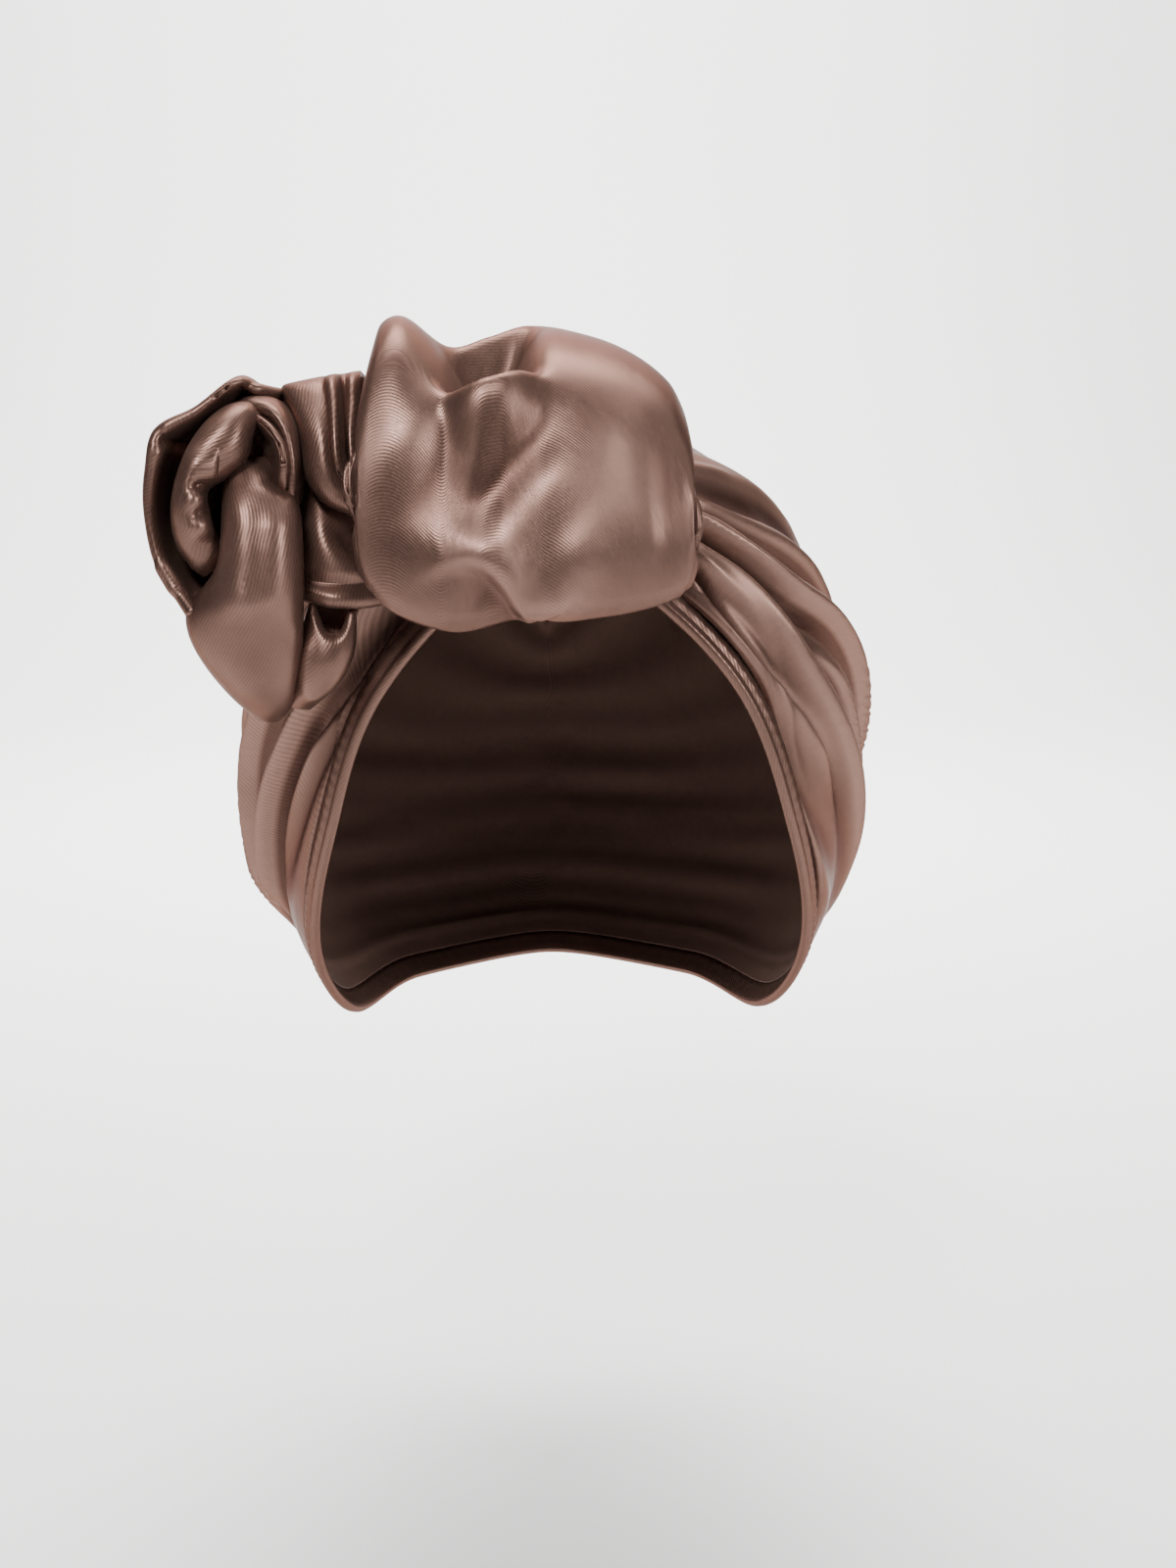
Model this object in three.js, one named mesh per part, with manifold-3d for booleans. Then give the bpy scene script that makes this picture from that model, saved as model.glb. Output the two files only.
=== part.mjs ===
// A satin turban headwrap, pre-tied: a pleated cap with a rolled hem round its opening, and on its
// front a tied knot of the same cloth, with one wide loop over the forehead and a rosette beside it.
// Millimetres, +Z up, the face opening towards -Y, the wearer's left towards +X.
// The origin is the inside of the crown, where the wrap sits on the top of the head.
import * as THREE from "three";
import { mergeVertices } from "three/addons/utils/BufferGeometryUtils.js";
import Module from "manifold-3d";

// Driving dimensions of the head that the cap is made for, and of the cloth.
const headHalfWidth = 78;
const headHalfDepth = 99;
const headHalfHeight = 92;
const clothWall = 1.8; // two layers of satin sewn together
const pleatFollow = 0.92; // how far the inside of the cap follows its pleats
const fitGap = 0.3; // clearance between neighbouring pieces
const headGap = 0.6; // between the forehead and what hangs over it

const hemWidth = 6;
const hemThickness = 3;
const hemStart = 0.02; // the share of the opening's edge, from the knot, where the hem starts
const pleatRise = 5.6; // the tallest pleat

const petalWall = 1.5;
const petalWidth = 67.8; // the front loop
const petalHeight = 65;
const petalGap = 17; // room between the front loop's two layers
const petalRoot = 24; // how far the front loop runs back behind its ridge
const creaseRise = 4;
const creaseWidth = 5;

// Widths of the folded bands of the knot and of the rosette.
const bandWall = 1.5;
const knotBandWidth = 25;
const knotLoopWidth = 16;
const sideFoldWidth = 9;
const leafWidth = 18;
const lobeWidth = 25;
const rollWidth = 11;
const arcWidth = 9;
const coreWidth = 13;

// Grid sizes.
const capRows = 48;
const capSteps = 17;
const hemSteps = 60;
const hemSides = 6;
const petalRows = 16;
const petalSteps = 22;

const clothColor = 0x86695e;
const clothRoughness = 0.42;
const clothMetalness = 0.25;

const radians = Math.PI / 180;
const clamp = (x, low, high) => Math.min(high, Math.max(low, x));
const smoothStep = (a, b, x) => {
  const t = clamp((x - a) / (b - a), 0, 1);
  return t * t * (3 - 2 * t);
};
const bump = (x) => Math.exp(-x * x);

// The value of one column of a table at a place, by a smooth curve through the table's rows.
function column(table, key, at, place = "at") {
  const n = table.length;
  let i = 0;
  while (i < n - 2 && table[i + 1][place] < at) i += 1;
  const slope = (k) => {
    const a = Math.max(k - 1, 0);
    const b = Math.min(k + 1, n - 1);
    return (table[b][key] - table[a][key]) / (table[b][place] - table[a][place]);
  };
  const p = table[i];
  const q = table[i + 1];
  const span = q[place] - p[place];
  const t = (at - p[place]) / span;
  const t2 = t * t;
  const t3 = t2 * t;
  return (
    (2 * t3 - 3 * t2 + 1) * p[key] +
    (t3 - 2 * t2 + t) * span * slope(i) +
    (3 * t2 - 2 * t3) * q[key] +
    (t3 - t2) * span * slope(i + 1)
  );
}

// A unit direction from an azimuth, 0 to the front and 90 to the wearer's left, and an elevation.
function direction(azimuth, elevation) {
  const a = azimuth * radians;
  const e = elevation * radians;
  return new THREE.Vector3(Math.sin(a) * Math.cos(e), -Math.cos(a) * Math.cos(e), Math.sin(e));
}

// The head's own surface, raised by some height, in a direction from the head's centre.
function headPoint(toward, raise = 0) {
  const centre = new THREE.Vector3(0, 0, -headHalfHeight);
  const d = toward.clone().normalize();
  const surface = new THREE.Vector3(d.x * headHalfWidth, d.y * headHalfDepth, d.z * headHalfHeight);
  const normal = new THREE.Vector3(d.x / headHalfWidth, d.y / headHalfDepth, d.z / headHalfHeight);
  return centre.add(surface).addScaledVector(normal.normalize(), raise);
}

// The run of the pleats over the head. Each row is one pleat line, which leaves the knot, passes
// the five places named by its columns and ends on the centre-back seam. Turn counts round the knot
// from the front edge at the wearer's left, over the crown, to the front edge at the right.
const knotPlace = [-4, 48];
const stations = ["brow", "temple", "side", "behind", "back", "seam"];
const pleatRun = [
  {
    turn: 0.0, brow: [34, 22], temple: [45.5, -1],
    side: [61, -23], behind: [82, -41], back: [128, -46], seam: [180, -46],
  },
  {
    turn: 0.08, brow: [35, 27], temple: [47, 5],
    side: [64, -16], behind: [88, -34], back: [132, -39], seam: [180, -39],
  },
  {
    turn: 0.17, brow: [38, 33], temple: [53, 11],
    side: [72, -9], behind: [98, -22], back: [138, -28], seam: [180, -28],
  },
  {
    turn: 0.27, brow: [45, 38], temple: [65, 19],
    side: [87, 2], behind: [112, -9], back: [145, -14], seam: [180, -15],
  },
  {
    turn: 0.37, brow: [50, 52], temple: [74, 37],
    side: [98, 21], behind: [123, 10], back: [150, 3], seam: [180, 1],
  },
  {
    turn: 0.5, brow: [0, 67], temple: [0, 86],
    side: [180, 74], behind: [180, 55], back: [180, 36], seam: [180, 18],
  },
  {
    turn: 0.63, brow: [-52, 52], temple: [-75, 37],
    side: [-98, 21], behind: [-123, 10], back: [-150, 3], seam: [-180, 1],
  },
  {
    turn: 0.73, brow: [-46, 37], temple: [-64, 18],
    side: [-85, 1], behind: [-111, -9], back: [-145, -14], seam: [-180, -15],
  },
  {
    turn: 0.83, brow: [-42, 31], temple: [-53, 9],
    side: [-70, -10], behind: [-97, -22], back: [-138, -28], seam: [-180, -28],
  },
  {
    turn: 0.92, brow: [-39, 25], temple: [-48, 3],
    side: [-63, -17], behind: [-87, -34], back: [-132, -39], seam: [-180, -39],
  },
  {
    turn: 1.0, brow: [-38, 19.5], temple: [-47.5, -2],
    side: [-62, -23], behind: [-82, -41], back: [-128, -46], seam: [-180, -46],
  },
];

// The pleats that stand on the cap. Height is a share of the tallest, width is a share of the turn,
// and each pleat rises softly and drops sharply on the side that lean points to.
const pleats = [
  { turn: 0.035, height: 0.21, width: 0.02, from: 0.02, to: 0.75, lean: 0.2 },
  { turn: 0.1, height: 0.64, width: 0.04, from: 0.03, to: 0.8, lean: 0.6 },
  { turn: 0.185, height: 0.82, width: 0.045, from: 0.03, to: 0.86, lean: 0.7 },
  { turn: 0.27, height: 1, width: 0.045, from: 0.03, to: 0.9, lean: 0.8 },
  { turn: 0.36, height: 0.86, width: 0.05, from: 0.05, to: 0.78, lean: 0.5 },
  { turn: 0.45, height: 0.46, width: 0.05, from: 0.05, to: 0.5, lean: 0.0 },
  { turn: 0.55, height: 0.46, width: 0.05, from: 0.05, to: 0.5, lean: 0.0 },
  { turn: 0.64, height: 0.75, width: 0.05, from: 0.05, to: 0.78, lean: -0.4 },
  { turn: 0.735, height: 0.96, width: 0.045, from: 0.05, to: 0.9, lean: -0.6 },
  { turn: 0.82, height: 0.86, width: 0.04, from: 0.05, to: 0.86, lean: -0.6 },
  { turn: 0.9, height: 0.68, width: 0.038, from: 0.03, to: 0.8, lean: -0.5 },
];

// Where a pleat line lies at a share of its length, as a direction from the head's centre.
function runDirection(turn, along) {
  const stops = [{ at: 0, ...components(direction(...knotPlace)) }];
  stations.forEach((name, i) => {
    const across = pleatRun.map((row) => ({ turn: row.turn, ...components(direction(...row[name])) }));
    const at = (i + 1) / stations.length;
    stops.push({
      at,
      x: column(across, "x", turn, "turn"),
      y: column(across, "y", turn, "turn"),
      z: column(across, "z", turn, "turn"),
    });
  });
  return new THREE.Vector3(
    column(stops, "x", along),
    column(stops, "y", along),
    column(stops, "z", along),
  ).normalize();
}

function components(v) {
  return { x: v.x, y: v.y, z: v.z };
}

// How far the pleats stand above the plain cap.
function pleatHeight(turn, along) {
  let height = 0;
  for (const p of pleats) {
    const off = (turn - p.turn) / p.width;
    const steep = off * p.lean > 0 ? 1 + 1.6 * Math.abs(p.lean) : 1;
    const rise = smoothStep(p.from, p.from + 0.12, along);
    const fade = 1 - smoothStep(p.to - 0.4, p.to, along);
    height += p.height * pleatRise * bump(off * steep) * rise * fade;
  }
  return height;
}

// One closed body from a grid of outer points and the matching inner points, with a rim at each
// open side. The last steps of a seamed grid meet and merge, so they have no rim. Seen from outside,
// the rows run to the left of the steps.
function shellBody(outer, inner, seamed = false) {
  const rows = outer.length;
  const steps = outer[0].length;
  const points = [...outer.flat(), ...inner.flat()];
  const faces = [];
  const quad = (a, b, c, d) => faces.push(a, b, c, a, c, d);
  const out = (i, j) => i * steps + j;
  const into = (i, j) => rows * steps + out(i, j);
  for (let i = 0; i < rows - 1; i += 1)
    for (let j = 0; j < steps - 1; j += 1) {
      quad(out(i, j), out(i, j + 1), out(i + 1, j + 1), out(i + 1, j));
      quad(into(i, j), into(i + 1, j), into(i + 1, j + 1), into(i, j + 1));
    }
  for (let i = 0; i < rows - 1; i += 1) {
    quad(out(i, 0), out(i + 1, 0), into(i + 1, 0), into(i, 0));
    if (!seamed)
      quad(out(i, steps - 1), into(i, steps - 1), into(i + 1, steps - 1), out(i + 1, steps - 1));
  }
  for (let j = 0; j < steps - 1; j += 1) {
    quad(out(0, j), into(0, j), into(0, j + 1), out(0, j + 1));
    quad(out(rows - 1, j), out(rows - 1, j + 1), into(rows - 1, j + 1), into(rows - 1, j));
  }
  return bodyFrom(points, faces);
}

// A solid roll from rings of points, with a point to close each end.
function rollBody(rings, first, last) {
  const sides = rings[0].length;
  const points = [...rings.flat(), first, last];
  const faces = [];
  const at = (i, j) => i * sides + (j % sides);
  for (let i = 0; i < rings.length - 1; i += 1)
    for (let j = 0; j < sides; j += 1)
      faces.push(at(i, j), at(i + 1, j + 1), at(i, j + 1), at(i, j), at(i + 1, j), at(i + 1, j + 1));
  for (let j = 0; j < sides; j += 1) {
    faces.push(points.length - 2, at(0, j), at(0, j + 1));
    faces.push(points.length - 1, at(rings.length - 1, j + 1), at(rings.length - 1, j));
  }
  return bodyFrom(points, faces);
}

function bodyFrom(points, faces) {
  const made = new THREE.BufferGeometry();
  const flat = points.flatMap((p) => [p.x, p.y, p.z]);
  made.setAttribute("position", new THREE.Float32BufferAttribute(flat, 3));
  made.setIndex(faces);
  return dropThin(mergeVertices(made, 1e-3));
}

// Leaves out triangles that lost a side when their corners were merged.
function dropThin(geometry) {
  const kept = [];
  const index = geometry.index.array;
  for (let i = 0; i < index.length; i += 3) {
    const [a, b, c] = [index[i], index[i + 1], index[i + 2]];
    if (a !== b && b !== c && c !== a) kept.push(a, b, c);
  }
  geometry.setIndex(kept);
  return geometry;
}

// The normals of a grid of points.
function gridNormals(grid) {
  const rows = grid.length;
  const steps = grid[0].length;
  return grid.map((line, i) =>
    line.map((_, j) => {
      const before = grid[Math.max(i - 1, 0)];
      const after = grid[Math.min(i + 1, rows - 1)];
      const across = after[j].clone().sub(before[j]);
      const down = line[Math.min(j + 1, steps - 1)].clone().sub(line[Math.max(j - 1, 0)]);
      return down.cross(across).normalize();
    }),
  );
}

// A cloth sheet: a grid of points given half the wall on each side.
function sheetBody(grid, wall) {
  const normals = gridNormals(grid);
  const moved = (share) =>
    grid.map((line, i) => line.map((p, j) => p.clone().addScaledVector(normals[i][j], share * wall)));
  return shellBody(moved(0.5), moved(-0.5));
}

const spread = (n, make) => Array.from({ length: n + 1 }, (_, i) => make(i / n));

// The cap, with its rows closer together at the sides. Grow makes the thicker copy that clears room
// for what is tied on it.
function capBody({ grow = 0, inside = 1 } = {}) {
  const surface = (raiseBy, follow, share) =>
    spread(capRows, (t) =>
      spread(capSteps, (s) => {
        const turn = 0.5 + 0.5 * Math.sign(t - 0.5) * Math.abs(2 * t - 1) ** 0.8;
        const along = s ** 1.15;
        const toward = runDirection(turn, along);
        const raise = raiseBy + follow * pleatHeight(turn, along);
        const p = headPoint(toward, raise);
        const centre = new THREE.Vector3(0, 0, -headHalfHeight);
        return centre.lerp(p, share);
      }),
    );
  return shellBody(surface(clothWall + grow, 1, 1), surface(0, pleatFollow, inside), true);
}

// The line of the cap's opening, from the knot down the wearer's left side, round the nape and up
// the right side, as directions.
function openingDirection(share) {
  const turn = share < 0.5 ? 0 : 1;
  const along = share < 0.5 ? share * 2 : 2 - share * 2;
  return runDirection(turn, along);
}

// The rolled hem sewn round the opening. Both of its ends run up under the knot.
function hemBody({ grow = 0 } = {}) {
  const sit = hemThickness / 2;
  const middle = (share) => headPoint(openingDirection(share), sit);
  const step = 0.004;
  const rings = spread(hemSteps, (t) => {
    const share = hemStart + t * (1 - 2 * hemStart);
    const tangent = middle(share + step).sub(middle(share - step)).normalize();
    const outward = headPoint(openingDirection(share), 10).sub(headPoint(openingDirection(share), 0));
    const away = tangent.clone().cross(outward.normalize()).normalize();
    const centre = middle(share).addScaledVector(away, hemWidth / 2 + fitGap);
    return Array.from({ length: hemSides }, (_, k) => {
      const a = (k / hemSides) * 2 * Math.PI;
      return centre
        .clone()
        .addScaledVector(away, (hemWidth / 2 + grow) * Math.cos(a))
        .addScaledVector(outward, (hemThickness / 2 + grow) * Math.sin(a));
    });
  });
  const centreOf = (ring) => {
    const sum = new THREE.Vector3();
    for (const p of ring) sum.add(p);
    return sum.divideScalar(ring.length);
  };
  return rollBody(rings, centreOf(rings[0]), centreOf(rings[hemSteps]));
}

// A band of cloth that follows a spine. The spine's rows give its place, its half width and its
// depth, and the way it faces: swing turns that way to the wearer's left, and tip turns it upwards.
// The section's rows run across the band, with side and front as shares of half width and depth.
function bandBody({ width, spine, section, rows, steps, wall = bandWall }) {
  const grid = spread(rows, (t) => {
    const at = (key, u) => column(spine, key, u);
    const place = (u) =>
      new THREE.Vector3(at("x", u) * headHalfWidth, at("y", u) * headHalfDepth, at("z", u) * headHalfHeight);
    const tangent = place(Math.min(t + 0.01, 1)).sub(place(Math.max(t - 0.01, 0))).normalize();
    const facing = direction(at("swing", t), at("tip", t));
    const front = facing.addScaledVector(tangent, -facing.dot(tangent)).normalize();
    const side = tangent.clone().cross(front);
    const wide = at("wide", t) * width;
    const deep = at("deep", t) * width;
    return spread(steps, (w) => {
      const out = column(section, "side", w) * wide;
      const fore = column(section, "front", w) * deep;
      return place(t).addScaledVector(side, out).addScaledVector(front, fore);
    });
  });
  return sheetBody(grid, wall);
}

// The middle of the wide front loop, as shares of the head's half width and half height.
const petalMiddle = { x: -0.123, z: -0.147 };

// Each row of the front loop's outline is one place across it, from the wearer's right. Shares of
// its width and height from its middle: x, and the heights of its ridge (top) and lower fold (low).
// Shares of the head's half depth: how far forward the ridge and the face stand.
// Gap is the room between the two layers, as a share of the widest.
const petalOutline = [
  { at: 0, x: -0.5, top: 0.346, low: -0.162, ridge: -0.727, face: -1.02, gap: 0.14 },
  { at: 0.07, x: -0.471, top: 0.462, low: -0.331, ridge: -0.737, face: -1.04, gap: 0.24 },
  { at: 0.16, x: -0.389, top: 0.5, low: -0.438, ridge: -0.737, face: -1.061, gap: 0.53 },
  { at: 0.3, x: -0.242, top: 0.454, low: -0.5, ridge: -0.707, face: -1.076, gap: 0.82 },
  { at: 0.42, x: -0.109, top: 0.431, low: -0.492, ridge: -0.667, face: -1.081, gap: 0.94 },
  { at: 0.54, x: 0.024, top: 0.492, low: -0.462, ridge: -0.626, face: -1.081, gap: 1 },
  { at: 0.7, x: 0.201, top: 0.462, low: -0.462, ridge: -0.646, face: -1.081, gap: 0.94 },
  { at: 0.84, x: 0.348, top: 0.4, low: -0.438, ridge: -0.697, face: -1.071, gap: 0.71 },
  { at: 0.94, x: 0.459, top: 0.292, low: -0.4, ridge: -0.768, face: -1.061, gap: 0.29 },
  { at: 1, x: 0.5, top: 0.177, low: -0.3, ridge: -0.798, face: -1.051, gap: 0.14 },
];

// The side view of the front layer, from its root on the cap, over the ridge, down to the fold.
// Rise is the share of the way from the lower fold to the ridge; fore is the share of the way from
// the ridge to the face; root counts only behind the ridge, as a share of its whole run back.
const petalProfile = [
  { at: 0, rise: 0.56, fore: 0, root: 1 },
  { at: 0.1, rise: 0.8, fore: 0, root: 0.69 },
  { at: 0.2, rise: 0.95, fore: 0, root: 0.33 },
  { at: 0.3, rise: 1, fore: 0.03, root: 0 },
  { at: 0.42, rise: 0.955, fore: 0.36, root: 0 },
  { at: 0.54, rise: 0.82, fore: 0.66, root: 0 },
  { at: 0.68, rise: 0.56, fore: 0.88, root: 0 },
  { at: 0.82, rise: 0.27, fore: 1, root: 0 },
  { at: 0.93, rise: 0.07, fore: 0.99, root: 0 },
  { at: 1, rise: 0, fore: 0.9, root: 0 },
];

// Ridges and hollows on the front loop, as lines from (x, z) to (x, z) in the outline's shares, with
// a height and a width as shares of creaseRise and creaseWidth.
const petalCreases = [
  { from: [-0.242, 0.3], to: [-0.419, -0.131], height: 0.45, width: 0.9 },
  { from: [-0.139, 0.177], to: [-0.257, -0.131], height: -0.3, width: 0.7 },
  { from: [0.112, 0.162], to: [-0.124, -0.208], height: -0.5, width: 0.9 },
  { from: [0.274, 0.115], to: [0.024, -0.285], height: 0.4, width: 1 },
  { from: [-0.109, -0.223], to: [0.053, -0.469], height: 0.55, width: 0.6 },
  { from: [-0.212, -0.346], to: [-0.035, -0.408], height: -0.45, width: 0.9 },
  { from: [0.23, -0.254], to: [0.127, -0.438], height: 0.45, width: 0.6 },
  { from: [0.378, 0.208], to: [0.407, -0.346], height: -0.3, width: 0.9 },
  { from: [-0.08, 0.362], to: [-0.021, 0.315], height: -0.9, width: 1.2 },
];

// A place on the front loop's outline, from shares of its width and height.
const petalX = (share) => petalMiddle.x * headHalfWidth + share * petalWidth;
const petalZ = (share) => petalMiddle.z * headHalfHeight + share * petalHeight;

function creaseHeight(x, z) {
  let height = 0;
  for (const crease of petalCreases) {
    const [fromX, fromZ] = [petalX(crease.from[0]), petalZ(crease.from[1])];
    const [runX, runZ] = [petalX(crease.to[0]) - fromX, petalZ(crease.to[1]) - fromZ];
    const t = clamp(((x - fromX) * runX + (z - fromZ) * runZ) / (runX ** 2 + runZ ** 2), 0, 1);
    const off = Math.hypot(x - fromX - t * runX, z - fromZ - t * runZ);
    height += crease.height * creaseRise * bump(off / (crease.width * creaseWidth));
  }
  return height;
}

// The outer face of the front loop, and below its fold the layer behind.
function petalBody() {
  const face = (u, v) => {
    const at = (key) => column(petalOutline, key, u);
    const rise = column(petalProfile, "rise", v);
    const fore = column(petalProfile, "fore", v);
    const back = column(petalProfile, "root", v) * petalRoot;
    const low = petalZ(at("low"));
    const ridge = at("ridge") * headHalfDepth;
    const front = at("face") * headHalfDepth;
    const y = ridge + fore * (front - ridge) + back;
    return new THREE.Vector3(petalX(at("x")), y, low + rise * (petalZ(at("top")) - low));
  };
  const facing = (u, v) => {
    const e = 0.01;
    const across = face(Math.min(u + e, 1), v).sub(face(Math.max(u - e, 0), v));
    const down = face(u, Math.min(v + e, 1)).sub(face(u, Math.max(v - e, 0)));
    return down.cross(across).normalize();
  };
  const grid = spread(petalRows, (u) =>
    spread(petalSteps, (w) => {
      const back = w > 0.5;
      const v = back ? 2 - 2 * w : 2 * w;
      const p = face(u, v);
      const calm = smoothStep(0.02, 0.12, u) * smoothStep(1, 0.95, u) * smoothStep(0.1, 0.3, v);
      const crease = creaseHeight(p.x, p.z) * calm;
      const gap = petalGap * column(petalOutline, "gap", u) * (1 - v ** 3) ** 0.6;
      return p.addScaledVector(facing(u, v), back ? crease * 0.5 - gap : crease);
    }),
  );
  return sheetBody(grid, petalWall);
}

// Sections used by the bands, from one edge of the cloth to the other.
const pleatedSection = [
  { at: 0.0, side: -1.2, front: -1.7 },
  { at: 0.12, side: -1.1, front: -0.5 },
  { at: 0.21, side: -0.9, front: 0.3 },
  { at: 0.31, side: -0.7, front: -0.3 },
  { at: 0.43, side: -0.45, front: 0.6 },
  { at: 0.53, side: -0.2, front: 0.25 },
  { at: 0.68, side: 0.3, front: 0.8 },
  { at: 0.8, side: 0.8, front: 0.3 },
  { at: 0.9, side: 1.0, front: -0.5 },
  { at: 1.0, side: 0.9, front: -1.8 },
];
const cupSection = [
  { at: 0.0, side: -0.9, front: 0.1 },
  { at: 0.14, side: -0.62, front: 0.6 },
  { at: 0.27, side: -0.35, front: 0.93 },
  { at: 0.38, side: -0.12, front: 0.85 },
  { at: 0.52, side: 0, front: 0.25 },
  { at: 0.68, side: -0.1, front: -0.7 },
  { at: 0.83, side: -0.55, front: -1.6 },
  { at: 1.0, side: -1.6, front: -2 },
];
const rollSection = [
  { at: 0.0, side: -0.35, front: -0.95 },
  { at: 0.12, side: -0.95, front: -0.45 },
  { at: 0.27, side: -0.9, front: 0.35 },
  { at: 0.45, side: -0.25, front: 1 },
  { at: 0.62, side: 0.7, front: 0.7 },
  { at: 0.8, side: 1, front: -0.2 },
  { at: 1.0, side: 0.45, front: -1.1 },
];
const rimSection = [
  { at: 0.0, side: -0.3, front: -1.9 },
  { at: 0.3, side: -0.25, front: -0.5 },
  { at: 0.5, side: 0, front: 0 },
  { at: 0.7, side: 0.35, front: -0.3 },
  { at: 1.0, side: 1, front: -1.3 },
];
const tongueSection = [
  { at: 0.0, side: -0.8, front: -2.2 },
  { at: 0.14, side: -1, front: -1.1 },
  { at: 0.28, side: -0.82, front: -0.3 },
  { at: 0.5, side: 0, front: 0 },
  { at: 0.72, side: 0.82, front: -0.3 },
  { at: 0.86, side: 1, front: -1.1 },
  { at: 1.0, side: 0.7, front: -2.2 },
];
const hangingSection = [
  { at: 0.0, side: -1, front: -0.6 },
  { at: 0.08, side: -1.06, front: 0.1 },
  { at: 0.17, side: -0.92, front: 0.35 },
  { at: 0.3, side: -0.7, front: -0.1 },
  { at: 0.6, side: 0.1, front: -0.7 },
  { at: 1.0, side: 1, front: 0.4 },
];
const tubeSection = spread(8, (t) => {
  const a = (t - 0.5) * 300 * radians;
  return { at: t, side: Math.sin(a), front: Math.cos(a) };
});

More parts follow.
